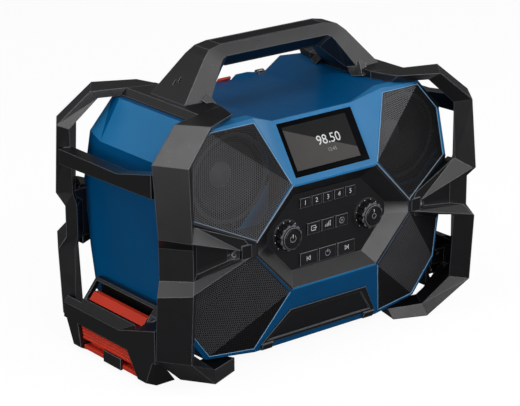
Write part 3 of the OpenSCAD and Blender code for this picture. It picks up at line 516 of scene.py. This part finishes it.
# ---------------------------------------------------------------------------
# Grilles: sheet steel punched with staggered holes, painted black, with a plain
# rim, folded sharply over the cabinet's creases in a recess. The round holes are
# so small that six sides do for them.
# ---------------------------------------------------------------------------
# the webs in a lit tone, and a duller copy of it as painted shade on flats turned from the light
MESH = moulded("grille_mesh", "4a4a4d", 0.34, spread=0.06, strength=0.1, blotch=30.0, spec=0.9)
MESH_PAINTED_SHADE = moulded("grille_mesh_shade", "1c1c1e", 0.45, spread=0.06, strength=0.1, blotch=30.0,
                     spec=0.4)
MESH_RIM = moulded("grille_rim", "1f1f22", 0.45, spread=0.12, strength=0.2)
UPPER_FLATS = [[0, 1, 2], [0, 2, 3, 4, 5]]
LOWER_FLATS = [[0, 1, 2], [0, 2, 3, 5], [5, 3, 4]]
# between holes, a hole's corner radius, the rim, the height over the flats, the sheet
PITCH, HOLE, RIM, LIFT, SHEET = 2.9, 1.2, 1.5, 0.3, 0.6
# a cell's corner radius, from one row of holes to the next, and a cell's six corners
CELL, ROW = PITCH / math.sqrt(3), PITCH * math.sqrt(3) / 2
SIX = np.radians(30 + 60 * np.arange(6))
# mm within which cells join, and within which a point is on the line of a cut
WELD, ON_LINE = 0.01, 1e-6


def flat_frame(pts):
    """A flat's own origin, its two directions, and its corners in them."""
    n = np.cross(pts[1] - pts[0], pts[2] - pts[0])
    n = n / np.linalg.norm(n) * (-1 if n[1] > 0 else 1)
    u = (pts[1] - pts[0]) / np.linalg.norm(pts[1] - pts[0])
    v = np.cross(n, u)
    o = pts[0] + n * LIFT
    q = np.stack([(pts - pts[0]) @ u, (pts - pts[0]) @ v], axis=1)
    return o, u, v, q


def cells(q, inn, off):
    """Cells on a staggered lattice, each a hexagon with a hexagonal hole, cut at the rim.

    A cell is three rings of six points: its outline, its hole, and the hole's back edge. Edge
    k of the flat q has the inward normal inn[k], and its cut lies off[k] further in.
    """
    span = np.ptp(q, axis=0)
    j, i = np.mgrid[-1:int(span[1] / ROW) + 3, -1:int(span[0] / PITCH) + 3]
    c = q.min(axis=0) + np.stack([(i + 0.5 * (j % 2)) * PITCH, j * ROW], axis=-1).reshape(-1, 2)
    depth = ((c[:, None] - q[None]) * inn[None]).sum(axis=2) - off
    c = c[(depth > -CELL).all(axis=1)]
    six = np.stack([np.cos(SIX), np.sin(SIX)], axis=1)
    points = np.concatenate([np.insert(c[:, None] + six * r, 2, z, axis=2)
                             for r, z in ((CELL, 0), (HOLE, 0), (HOLE, -SHEET))], axis=1)
    base = np.arange(len(c))[:, None, None] * 18 + np.array([0, 6])[None, :, None]
    k = np.arange(6)[None, None]
    m = (k + 1) % 6
    quads = np.stack([base + k, base + m, base + 6 + m, base + 6 + k], axis=-1).reshape(-1, 4)
    me = bpy.data.meshes.new("cells")
    me.from_pydata(points.reshape(-1, 3).tolist(), [], quads.tolist())
    bm = bmesh.new()
    bm.from_mesh(me)
    bpy.data.meshes.remove(me)
    bmesh.ops.remove_doubles(bm, verts=bm.verts, dist=WELD)
    for at, n, w in zip(q, inn, off):
        bmesh.ops.bisect_plane(bm, geom=bm.verts[:] + bm.edges[:] + bm.faces[:], dist=ON_LINE,
                               plane_co=(*(at + n * w), 0), plane_no=(*n, 0), clear_inner=True)
    bm.verts.index_update()
    points = np.array([v.co for v in bm.verts])
    faces = [[v.index for v in f.verts] for f in bm.faces]
    bm.free()
    return points, faces


def rim_strips(q, inn, off):
    """A plain strip from each outer edge to the same edge set in.

    A corner of the inner outline is where the set-in lines of the edges before and after it
    cross. A crease is not set in and has no strip.
    """
    line = (q * inn).sum(axis=1) + off
    prev_n, prev_l = np.roll(inn, 1, axis=0), np.roll(line, 1)
    det = prev_n[:, 0] * inn[:, 1] - inn[:, 0] * prev_n[:, 1]
    inner = np.stack([(prev_l * inn[:, 1] - line * prev_n[:, 1]) / det,
                      (prev_n[:, 0] * line - inn[:, 0] * prev_l) / det], axis=1)
    n = len(q)
    return (np.insert(np.concatenate([q, inner]), 2, 0, axis=1),
            [[a, (a + 1) % n, n + (a + 1) % n, n + a] for a in range(n) if off[a]])


def perforated(name, outline, flats, shade_painted_flats, side, replaced):
    """A folded grille: cells and rim strips on each flat, at o + a u + b v + c (u x v).

    The flats listed to take painted shade get a duller copy of the paint, as their webs lie turned
    from the light.
    """
    pts = np.array(outline)
    shared = [frozenset((f[i], f[i - 1])) for f in flats for i in range(len(f))]
    verts, faces, which = [], [], []
    for place, f in enumerate(flats):
        o, u, v, q = flat_frame(pts[f])
        nxt = np.roll(q, -1, axis=0)
        if (q[:, 0] * nxt[:, 1] - nxt[:, 0] * q[:, 1]).sum() < 0:
            f, q = f[::-1], q[::-1]
            nxt = np.roll(q, -1, axis=0)
        d = (nxt - q) / np.linalg.norm(nxt - q, axis=1)[:, None]
        inn = np.stack([-d[:, 1], d[:, 0]], axis=1)
        off = np.array([0.0 if shared.count(frozenset((f[i], f[(i + 1) % len(f)]))) > 1 else RIM
                        for i in range(len(f))])
        paint = 2 if place in shade_painted_flats else 0
        for (local, polygons), finish in ((cells(q, inn, off), paint),
                                          (rim_strips(q, inn, off), 1)):
            base = sum(len(a) for a in verts)
            verts.append(o + local[:, :1] * u + local[:, 1:2] * v + local[:, 2:] * np.cross(u, v))
            faces += [[base + k for k in polygon] for polygon in polygons]
            which += [finish] * len(polygons)
    verts = np.concatenate(verts)
    if side < 0:
        verts = verts * (-1, 1, 1)
        faces = [g[::-1] for g in faces]
    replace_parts(shell_of(name, verts, faces, "cabinet", [MESH, MESH_RIM, MESH_PAINTED_SHADE],
                         which),
                replaced)


# which flats take the painted shade, different on the left and right
for s, g in BOTH:
    perforated("grille_mesh_upper_" + s, UPPER, UPPER_FLATS, (0,) if g < 0 else (1,), g,
               "grille_upper_" + s)
    perforated("grille_mesh_lower_" + s, LOWER, LOWER_FLATS, (2,) if g < 0 else (0, 2), g,
               "grille_lower_" + s)


# ---------------------------------------------------------------------------
# Black felt behind the lower grilles and thin black plates over the cabinet's
# corner where the cage's arms end. Both are cut flat and folded on.
# ---------------------------------------------------------------------------
def plate(name, pts, faces, side, mat, thick, lift):
    """A sheet through the points, moved lift mm forwards and thick mm thick."""
    pts = (np.array(pts) - (0, lift, 0)) * (side, 1, 1)
    faces = [f if side > 0 else f[::-1] for f in faces]
    wall = shell_of(name, pts, faces, "cabinet", [mat]).modifiers.new("Thick", "SOLIDIFY")
    wall.thickness = thick * MM
    wall.offset = 0


COVER = moulded("arm_plate", "121316", 0.42, spread=0.12, strength=0.3)
SEAT = [UPPER[4], UPPER[5], PX1, PB4, PB5, PX2, LOWER[0], LOWER[1]]
for s, g in BOTH:
    plate("grille_felt_lower_" + s, LOWER, LOWER_FLATS, g, FELT,
          thick=0.4, lift=-1.5)
    plate("arm_seat_" + s, SEAT, [[0, 1, 2, 3], [2, 4, 3], [2, 5, 4], [5, 6, 7, 4]], g, COVER,
          thick=0.2, lift=0.15)


# ---------------------------------------------------------------------------
# Trims: thin raised lips moulded along the cabinet's creases and round the
# grilles. They stand up to a millimetre proud, and their pale tones are a painted highlight.
# ---------------------------------------------------------------------------
BEAD_OUT, BEAD_SIDES = 0.25, 8


def lip(name, pts, radius, mat):
    """A round bead carried along a path, with rings that stand square to the path's own way.

    At angle t a ring's point is radius times (cos t along its normal + sin t across).
    """
    p = np.array(pts, float) - (0, BEAD_OUT, 0)
    way = np.gradient(p, axis=0)
    way /= np.linalg.norm(way, axis=1)[:, None]
    b = np.cross(way, (0, -1, 0))
    b /= np.linalg.norm(b, axis=1)[:, None]
    n = np.cross(b, way)
    t = np.arange(BEAD_SIDES) * 2 * math.pi / BEAD_SIDES
    rings = p[:, None] + radius * (np.cos(t)[None, :, None] * n[:, None]
                                   + np.sin(t)[None, :, None] * b[:, None])
    verts = rings.reshape(-1, 3)
    faces = rings_joined(len(p), BEAD_SIDES)
    faces += [list(range(BEAD_SIDES))[::-1], list(range(len(verts) - BEAD_SIDES, len(verts)))]
    shell_of(name, verts, faces, "cabinet", [mat], smooth=60)


# grey and pale trims are a painted highlight, the dim one its copy in painted shade; the grey also
# draws the handle's moulded line
GREY_LINE = moulded("line_grey", "8f9196", 0.35, spread=0.06, strength=0.1)
DIM_LINE = moulded("line_dim", "3f4045", 0.35, spread=0.06, strength=0.1)
PALE_LINE = moulded("line_pale", "7d93a8", 0.35, spread=0.06, strength=0.1)
for s, g in BOTH:
    out = [np.array(p) * (g, 1, 1) for p in (PD1, PX1, PX2, PL1)]
    up, low = [p * (g, 1, 1) for p in UPPER], [p * (g, 1, 1) for p in LOWER]
    lip("trim_panel_upper_" + s, out[:2], 0.75, GREY_LINE)
    lip("trim_panel_lower_" + s, out[2:], 0.6, DIM_LINE)
    lip("trim_grille_top_" + s, up[:3], 0.5, BLUE_EDGE_HIGHLIGHT)
    lip("trim_grille_side_" + s, up[2:5], 0.6, BLUE_EDGE_HIGHLIGHT)
    lip("trim_arm_upper_" + s, up[4:], 0.6, PALE_LINE)
    lip("trim_lower_side_" + s, low[1:], 0.6, BLUE_EDGE_HIGHLIGHT)


# ---------------------------------------------------------------------------
# Display: a gloss window set flush in the leaning face, over its board. The lit
# area, a broad painted reflection and a plain frequency and time are thin layers on its front.
# ---------------------------------------------------------------------------
GLASS = moulded("display_gloss", "060709", 0.12, spread=0.1, strength=0.0, spec=0.12)
BOARD = moulded("circuit_board", "17512c", 0.35, spread=0.15, strength=0.3, blotch=120.0)
ACTIVE = moulded("display_active", "0e0f10", 0.3, spread=0.25, strength=0.0, blotch=25.0, spec=0.2)
# a painted reflection: a grey sheen over the lower part of the lit area
DISPLAY_REFLECTION = moulded("display_sheen", "454240", 0.3, spread=0.12, strength=0.0, blotch=12.0, spec=0.3)
PRINT = moulded("print_white", "dfe1e3", 0.45, spread=0.03, strength=0.1)
DIM_PRINT = moulded("print_dim", "9a9c9e", 0.45, spread=0.05, strength=0.1)
# the face goes back 45 mm on 69 mm of height
LEAN = math.atan2(45, 69)
# the lit area's sides, foot and top, and how high the painted reflection reaches on either side
LIT_LEFT, LIT_RIGHT, LIT_FOOT, LIT_TOP = -53, 47, 15, 71.5
REFLECTION_LEFT_TOP, REFLECTION_RIGHT_TOP = 68, 27
DIGITS_X, DIGITS_UP, SMALL_UP, PRINT_OUT = 9, 45, 31.5, 0.3


def on_display(x, up, out):
    """The point x across, up the slope and out of it, in millimetres."""
    return np.array((x, PD1[1] + up * math.sin(LEAN) - out * math.cos(LEAN),
                     PD1[2] + up * math.cos(LEAN) + out * math.sin(LEAN)))


def digits(name, text, size, place, body, mat, lean=0.0):
    """Plain digits made a mesh, stood up facing the front and leant back."""
    cu = bpy.data.curves.new(name, "FONT")
    cu.body = text
    cu.size = size * MM
    cu.align_x, cu.align_y = "CENTER", "CENTER"
    tmp = bpy.data.objects.new(name + "_text", cu)
    SCENE.collection.objects.link(tmp)
    bpy.context.view_layer.update()
    me = bpy.data.meshes.new_from_object(tmp)
    bpy.data.objects.remove(tmp)
    me.materials.clear()
    me.name = name
    me.transform(Matrix.Translation(Vector(place) * MM)
                 @ Matrix.Rotation(math.pi / 2 - lean, 4, "X"))
    put(name, me, body, [mat])


def own_finish(n, mat):
    """Gives a node that keeps its own mesh the finish it is made in."""
    NODES[n].data.materials.clear()
    NODES[n].data.materials.append(mat)


own_finish("display_window", GLASS)
own_finish("display_module", BOARD)
for name, left_top, right_top, out, mat in (
        ("display_active", LIT_TOP, LIT_TOP, 0.12, ACTIVE),
        ("display_sheen", REFLECTION_LEFT_TOP, REFLECTION_RIGHT_TOP, 0.2, DISPLAY_REFLECTION)):
    outline = [(LIT_LEFT, LIT_FOOT), (LIT_RIGHT, LIT_FOOT), (LIT_RIGHT, right_top),
               (LIT_LEFT, left_top)]
    shell_of(name, [on_display(x, up, out) for x, up in outline], [[0, 1, 2, 3]], "cabinet",
             [mat])
digits("display_digits", "98.50", 17, on_display(DIGITS_X, DIGITS_UP, PRINT_OUT), "cabinet",
       PRINT, LEAN)
digits("display_small", "12:45", 6.5, on_display(DIGITS_X, SMALL_UP, PRINT_OUT), "cabinet",
       DIM_PRINT, LEAN)


# ---------------------------------------------------------------------------
# Control panel: a sunk black moulding with sloping sides and printed dial dots.
# The keypad board behind it carries the switches and the two encoders.
# ---------------------------------------------------------------------------
# the ridge tone and the edge finish are painted highlights on the panel's rounded edges
PANEL = moulded("panel_black", "121315", 0.33, spread=0.10, strength=0.35, spec=0.7,
                ridge="3c3d41", ridge_mm=1.0)
PANEL_EDGE_HIGHLIGHT = moulded("panel_edge", "3c3d41", 0.35, spread=0.10, strength=0.2)
STEEL = moulded("steel", "a7abb1", 0.34, spread=0.1, grain=2500.0, depth=0.1, strength=0.15,
                blotch=90.0, metal=1.0)
finished("control_panel", [PANEL, PANEL_EDGE_HIGHLIGHT], 0.6)
own_finish("keypad_board", BOARD)
own_finish("encoder_bodies", STEEL)
# a flat rim left and right of the panel: its depth, its outer and its inner outline
RIM_Y = -133.2
RIM_OUT = np.array([PD1, PX1, PX2, PL1]) * (1, 0, 1) + (0, RIM_Y, 0)
RIM_IN = np.array([(64.6, RIM_Y, 233.4), (120.6, RIM_Y, 175), (120.6, RIM_Y, 160),
                   (67.4, RIM_Y, 104)])
for s, g in BOTH:
    quads = [[i, i + 1, i + 5, i + 4] for i in range(3)]
    shell_of("panel_rim_" + s, np.concatenate([RIM_OUT, RIM_IN]) * (g, 1, 1),
             quads if g < 0 else [q[::-1] for q in quads], "cabinet", [PANEL])

KNOB_X, KNOB_Z = 65, 167
# how far the dots stand from a knob's centre, their depth, and the sides of one
DOT_REACH, DOT_Y, DOT_SIDES = 18.6, -118.62, 10
for name, x, size in (("volume", -KNOB_X, 0.75), ("tuning", KNOB_X, 0.6)):
    a = np.radians(np.arange(-135, 136, 30))[:, None]
    t = np.arange(DOT_SIDES)[None, :] * 2 * math.pi / DOT_SIDES
    verts = np.stack([x + DOT_REACH * np.sin(a) + size * np.sin(t), DOT_Y + 0 * (a + t),
                      KNOB_Z + DOT_REACH * np.cos(a) + size * np.cos(t)], axis=-1)
    shell_of("dial_dots_" + name, verts.reshape(-1, 3),
             np.arange(len(a) * DOT_SIDES).reshape(-1, DOT_SIDES)[:, ::-1], "cabinet", [PRINT])


# ---------------------------------------------------------------------------
# Knobs: two gloss black mouldings on steel shafts, each with twelve finger
# flutes, a stepped cap with a thin groove, and a printed mark on its face.
# ---------------------------------------------------------------------------
KNOB = moulded("knob_black", "131416", 0.22, spread=0.12, strength=0.06, spec=0.7)
# the lighter grey on the flute skirt and the cap's step is a painted highlight
KNOB_HIGHLIGHT = moulded("knob_edge", "5c5d62", 0.22, spread=0.1, strength=0.05)
FLUTES, FLUTE_R, FLUTE_AWAY, SKIRT_R = 12, 3.6, 19.0, 17.0


def flutes(t):
    """Depth of the flutes at angle t: round cutters stand round the skirt.

    At angle a from a cutter its near side is away times cos a less half its chord.
    """
    step = 2 * math.pi / FLUTES
    a = np.abs((t + step / 2) % step - step / 2)
    chord = np.sqrt(np.maximum(FLUTE_R ** 2 - (FLUTE_AWAY * np.sin(a)) ** 2, 0))
    return np.where(FLUTE_AWAY * np.sin(a) < FLUTE_R,
                    SKIRT_R - (FLUTE_AWAY * np.cos(a) - chord), 0)


# depth, radius and share of the flutes; then the finish between two rings, 1 being the painted
# highlight
KNOB_RINGS = [(-119.6, 16.5, 1), (-120.1, 16.98, 1), (-127.2, 16.9, 1), (-128.1, 16.4, 1),
              (-128.6, 15.6, 0.9), (-128.75, 14.6, 0.25), (-129.0, 14.15, 0),
              (-130.3, 13.95, 0), (-130.8, 13.5, 0), (-131.0, 12.8, 0), (-131.0, 11.7, 0),
              (-130.55, 11.4, 0), (-130.55, 10.9, 0), (-130.85, 10.6, 0), (-130.9, 2.0, 0)]
KNOB_PARTS = [0, 0, 1, 1, 1, 0, 0, 1, 1, 0, 0, 0, 0, 0]
MARK_Y, MARK_WIDE = -131.12, 0.9
# by how much of its width a printed bar runs on past either end
RUN_ON = 0.3


def arc(x, z, r, a0, a1, steps):
    """Points at radius r round x, z, from a0 to a1 degrees, clockwise from the top."""
    a = np.radians(np.linspace(a0, a1, steps + 1))
    return np.stack([x + r * np.sin(a), z + r * np.cos(a)], axis=1)


def strokes(name, lines, width, y, body):
    """Printed strokes: a thin four-cornered bar from each point of a line to the next."""
    p = np.concatenate([np.array(ln, float)[:-1] for ln in lines])
    q = np.concatenate([np.array(ln, float)[1:] for ln in lines])
    t = (q - p) / np.linalg.norm(q - p, axis=1)[:, None] * width
    n = np.stack([-t[:, 1], t[:, 0]], axis=1) / 2
    p, q = p - RUN_ON * t, q + RUN_ON * t
    four = np.stack([p - n, q - n, q + n, p + n], axis=1)
    verts = np.insert(four.reshape(-1, 2), 1, y, axis=1)
    shell_of(name, verts, np.arange(len(verts)).reshape(-1, 4), body, [PRINT])


KNOB_MARKS = {"volume": [arc(-KNOB_X, KNOB_Z, 4.3, 45, 315, 26),
                         [(-KNOB_X, KNOB_Z + 0.8), (-KNOB_X, KNOB_Z + 5.2)]],
              "tuning": [arc(KNOB_X, KNOB_Z, 3.0, 0, 360, 24),
                         [(KNOB_X, KNOB_Z + 5.4), (KNOB_X, KNOB_Z + 8.6)]]}
for (name, marks), (s, g) in zip(KNOB_MARKS.items(), BOTH):
    knob = turned(name + "_knob_finish", (g * KNOB_X, KNOB_Z), KNOB_RINGS, name + "_knob",
                  [KNOB, KNOB_HIGHLIGHT], KNOB_PARTS, steps=12 * FLUTES, cut=flutes)
    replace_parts(knob, name + "_knob")
    strokes("mark_" + name, marks, MARK_WIDE, MARK_Y, name + "_knob")
    own_finish("knob_shaft_" + s, STEEL)


# ---------------------------------------------------------------------------
# Keys: eleven dark grey keycaps standing two millimetres proud of the panel,
# with soft edges in a painted highlight and plain printed digits or marks.
# ---------------------------------------------------------------------------
# the ridge tone and the edge finish are painted highlights on the keys' rounded edges
KEY = moulded("key_grey", "1b1c1f", 0.34, spread=0.08, strength=0.2, ridge="5e5f63",
              ridge_mm=0.8)
KEY_EDGE_HIGHLIGHT = moulded("key_edge", "808287", 0.3, spread=0.08, strength=0.15)
KEY_FACE, PRESET_PITCH, PRESET_Z = -119.12, 18.0, 203.4
# each mark's stroke width and its lines, across and up on the panel
KEY_MARKS = {
    "mid_key_left": (0.8, [[(-26.5, 165), (-26.5, 171), (-19.5, 171)],
                           [(-26.5, 165), (-19.5, 165)], [(-23, 168), (-18, 168)],
                           [(-20, 169.8), (-18, 168), (-20, 166.2)]]),
    "mid_key_centre": (0.9, [[(x, 165.4), (x, z)] for x, z in
                             ((-3.6, 168), (-1.2, 169.4), (1.2, 170.8), (3.6, 172))]),
    "mid_key_right": (0.8, [arc(22.5, 168, 3.8, 0, 360, 28), arc(22.5, 168, 1.2, 0, 360, 12)]),
    "low_key_left": (0.8, [[(-33.4, 127.6), (-33.4, 133.2)],
                           [(-28, 127.6), (-32.4, 130.4), (-28, 133.2), (-28, 127.6)]]),
    "low_key_centre": (0.8, [arc(0, 130.4, 3.7, 40, 320, 24), [(0, 131.2), (0, 135)]]),
    "low_key_right": (0.8, [[(33.4, 127.6), (33.4, 133.2)],
                            [(28, 127.6), (32.4, 130.4), (28, 133.2), (28, 127.6)]])}
for k in range(1, 6):
    n = "preset_key_%d" % k
    finished(n, [KEY, KEY_EDGE_HIGHLIGHT], 1.2)
    digits("digit_%d" % k, str(k), 8.6, ((k - 3) * PRESET_PITCH, KEY_FACE, PRESET_Z), n, PRINT)
for n, (width, lines) in KEY_MARKS.items():
    finished(n, [KEY, KEY_EDGE_HIGHLIGHT], 1.3)
    strokes("mark_" + n.replace("_key", ""), lines, width, KEY_FACE, n)


# ---------------------------------------------------------------------------
# Bass hood: a black moulding on the lower centre face, open in the middle,
# where the air from the downward driver comes out, with two end feet.
# ---------------------------------------------------------------------------
# the ridge tone and the edge finish are painted highlights on the hood's rounded edges
HOOD = moulded("hood_black", "141518", 0.36, spread=0.10, strength=0.3, ridge="6c6d72")
HOOD_EDGE_HIGHLIGHT = moulded("hood_edge", "66676b", 0.35, spread=0.10, strength=0.2)
finished("bass_hood", [HOOD, HOOD_EDGE_HIGHLIGHT], 0.8)


# ---------------------------------------------------------------------------
# Roll cage: front and rear hoops, top rails and low side bars, moulded in
# glass-filled nylon with a fine grain, standing on four rubber feet.
# ---------------------------------------------------------------------------
# the ridge tone and the edge finish are painted highlights on rounded edges; the edge finish also
# serves hook, battery and terminal block
CAGE = moulded("cage_black", "0d0e10", 0.29, spread=0.10, strength=0.3, spec=0.7,
               ridge="6a6b70")
CAGE_EDGE_HIGHLIGHT = moulded("cage_black_edge", "66676b", 0.34, spread=0.12, strength=0.2)
# two triangles are one facet where they fold by less than this, are each larger than this,
# and share a side longer than this that is at least nearly the longest of both
BEND, HALF_AREA, HALF_SIDE, NEARLY = math.radians(27), 140 * MM * MM, 24 * MM, 0.97
# rounds of easing, and how near a corner is to the hoop's end to be held there
ROUNDS, AT_END = 80, 0.2 * MM


def flat_facets(bm):
    """Joins the halves of each bent facet, then eases all corners on to their facets' planes.

    Each round moves a corner to the mean of its places on the best planes of its facets.
    A corner keeps any coordinate that is the hoop's own lowest or highest.
    """
    halves = [e for e in bm.edges if len(e.link_faces) == 2
              and all(len(f.verts) == 3 and f.calc_area() > HALF_AREA for f in e.link_faces)
              and e.calc_face_angle() < BEND and e.calc_length() > HALF_SIDE
              and e.calc_length() > NEARLY * max(k.calc_length() for f in e.link_faces
                                                 for k in f.edges)]
    bmesh.ops.dissolve_edges(bm, edges=halves)
    bm.verts.index_update()
    start = p = np.array([v.co for v in bm.verts])
    low, high = p.min(axis=0), p.max(axis=0)
    held = (p - low < AT_END) | (high - p < AT_END)
    groups = {}
    for f in bm.faces:
        if len(f.verts) > 3:
            groups.setdefault(len(f.verts), []).append([v.index for v in f.verts])
    for _ in range(ROUNDS):
        total, count = np.zeros_like(p), np.zeros(len(p))
        for idx in map(np.array, groups.values()):
            q = p[idx] - p[idx].mean(axis=1, keepdims=True)
            n = np.linalg.svd(q, full_matrices=False)[2][:, 2]
            off = (q * n[:, None]).sum(axis=2, keepdims=True) * n[:, None]
            np.add.at(total, idx, off)
            np.add.at(count, idx, 1)
        p = np.clip(p - total / np.maximum(count, 1)[:, None], low, high)
        p = np.where(held, start, p)
    for v, co in zip(bm.verts, p):
        v.co = co


for s, g in BOTH:
    for n in ("hoop_front_", "hoop_rear_"):
        finished(n + s, [CAGE, CAGE_EDGE_HIGHLIGHT], 1.3, angle=22, smooth=22,
                 mark=flat_facets)
    finished("rail_" + s, [CAGE, CAGE_EDGE_HIGHLIGHT], 0.8)
    finished("low_bar_" + s, [CAGE, CAGE_EDGE_HIGHLIGHT], 1.1, angle=24, smooth=25)
finished("feet", [RUBBER, RUBBER], 0.4)
finished("cage_screws", [STEEL, STEEL], 0.2)


# ---------------------------------------------------------------------------
# Side latches: red mouldings that swing on steel pins in the low bars, with
# a ribbed grip, and a black hook low on each.
# ---------------------------------------------------------------------------
RED = moulded("latch_red", "d4361f", 0.42, spread=0.06, strength=0.2)
# the lighter red is a painted highlight on the rounded edges
RED_EDGE_HIGHLIGHT = moulded("latch_red_edge", "e8604a", 0.4, spread=0.05, strength=0.15)
GLOSS = moulded("hook_black", "141518", 0.2, spread=0.1, strength=0.05, spec=0.6)
# how far a normal leans to the cabinet or ahead on the faces that take painted shade
FACES_AWAY = -0.5


def dark_inside(bm):
    """Paints shade: black on the latch's faces that look at the cabinet or forwards, into the cage's
    dark.
    """
    side = 1 if sum(v.co.x for v in bm.verts) > 0 else -1
    for f in bm.faces:
        if f.normal.x * side < FACES_AWAY or f.normal.y < FACES_AWAY:
            f.material_index = MARKED


for s, g in BOTH:
    finished("latch_" + s, [RED, RED_EDGE_HIGHLIGHT, PAINTED_SHADE_BLACK], 0.8, mark=dark_inside)
    finished("hook_" + s, [GLOSS, CAGE_EDGE_HIGHLIGHT], 0.8)
own_finish("latch_pins", STEEL)


# ---------------------------------------------------------------------------
# Handle: a moulded bar with splayed legs that stand on the top rails, a thin
# moulded line round the rubber on its top, and a grip pad underneath.
# ---------------------------------------------------------------------------
# how straight up a level face looks; mm from the bar's edge to the line, and the line
LEVEL, BORDER, LINE_WIDE = 0.99, 3.2, 0.8


def rubber_top(bm):
    """Paints a thin grey line, and rubber inside it, on the bar's flat top."""
    high = max(v.co.z for v in bm.verts)
    top = [f for f in bm.faces if f.normal.z > LEVEL and f.calc_center_median().z > high - MM]
    bmesh.ops.inset_region(bm, faces=top, thickness=BORDER * MM)
    line = bmesh.ops.inset_region(bm, faces=top, thickness=LINE_WIDE * MM)["faces"]
    for faces, k in ((line, MARKED), (top, MARKED_TOO)):
        for f in faces:
            f.material_index = k


finished("handle", [CAGE, CAGE_EDGE_HIGHLIGHT, GREY_LINE, RUBBER], 2.2, segs=3,
         mark=rubber_top)
finished("grip_pad", [RUBBER, RUBBER], 0.5)


# ---------------------------------------------------------------------------
# Battery bay: a blue door on a steel pin with a red catch, and a tool battery
# that slides down on to its terminal block inside.
# ---------------------------------------------------------------------------
PACK = moulded("battery_black", "1b1c20", 0.45, spread=0.12, strength=0.3)
finished("battery_door", [BLUE, BLUE_EDGE_HIGHLIGHT], 0.9)
finished("door_latch", [RED, RED_EDGE_HIGHLIGHT], 0.6)
finished("battery_pack", [PACK, CAGE_EDGE_HIGHLIGHT], 1.6)
finished("terminal_block", [PACK, CAGE_EDGE_HIGHLIGHT], 0.6)
own_finish("door_pin", STEEL)


# ---------------------------------------------------------------------------
# Aerial: a telescopic rod in bright tube, folded down beside the battery door
# on a small steel knuckle at the top of the rear slope.
# ---------------------------------------------------------------------------
CHROME = moulded("chrome_rod", "c4c8ce", 0.16, spread=0.06, grain=2500.0, depth=0.1,
                 strength=0.1, blotch=90.0, metal=1.0)
KNUCKLE = moulded("aerial_knuckle", "6a6c70", 0.35, spread=0.1, grain=2500.0, depth=0.1,
                  strength=0.2, metal=0.7)
finished("aerial_mount", [KNUCKLE, STEEL], 0.4)
finished("aerial_tube", [CHROME, CHROME], 0.2)
finished("aerial_rod", [CHROME, CHROME], 0.2)
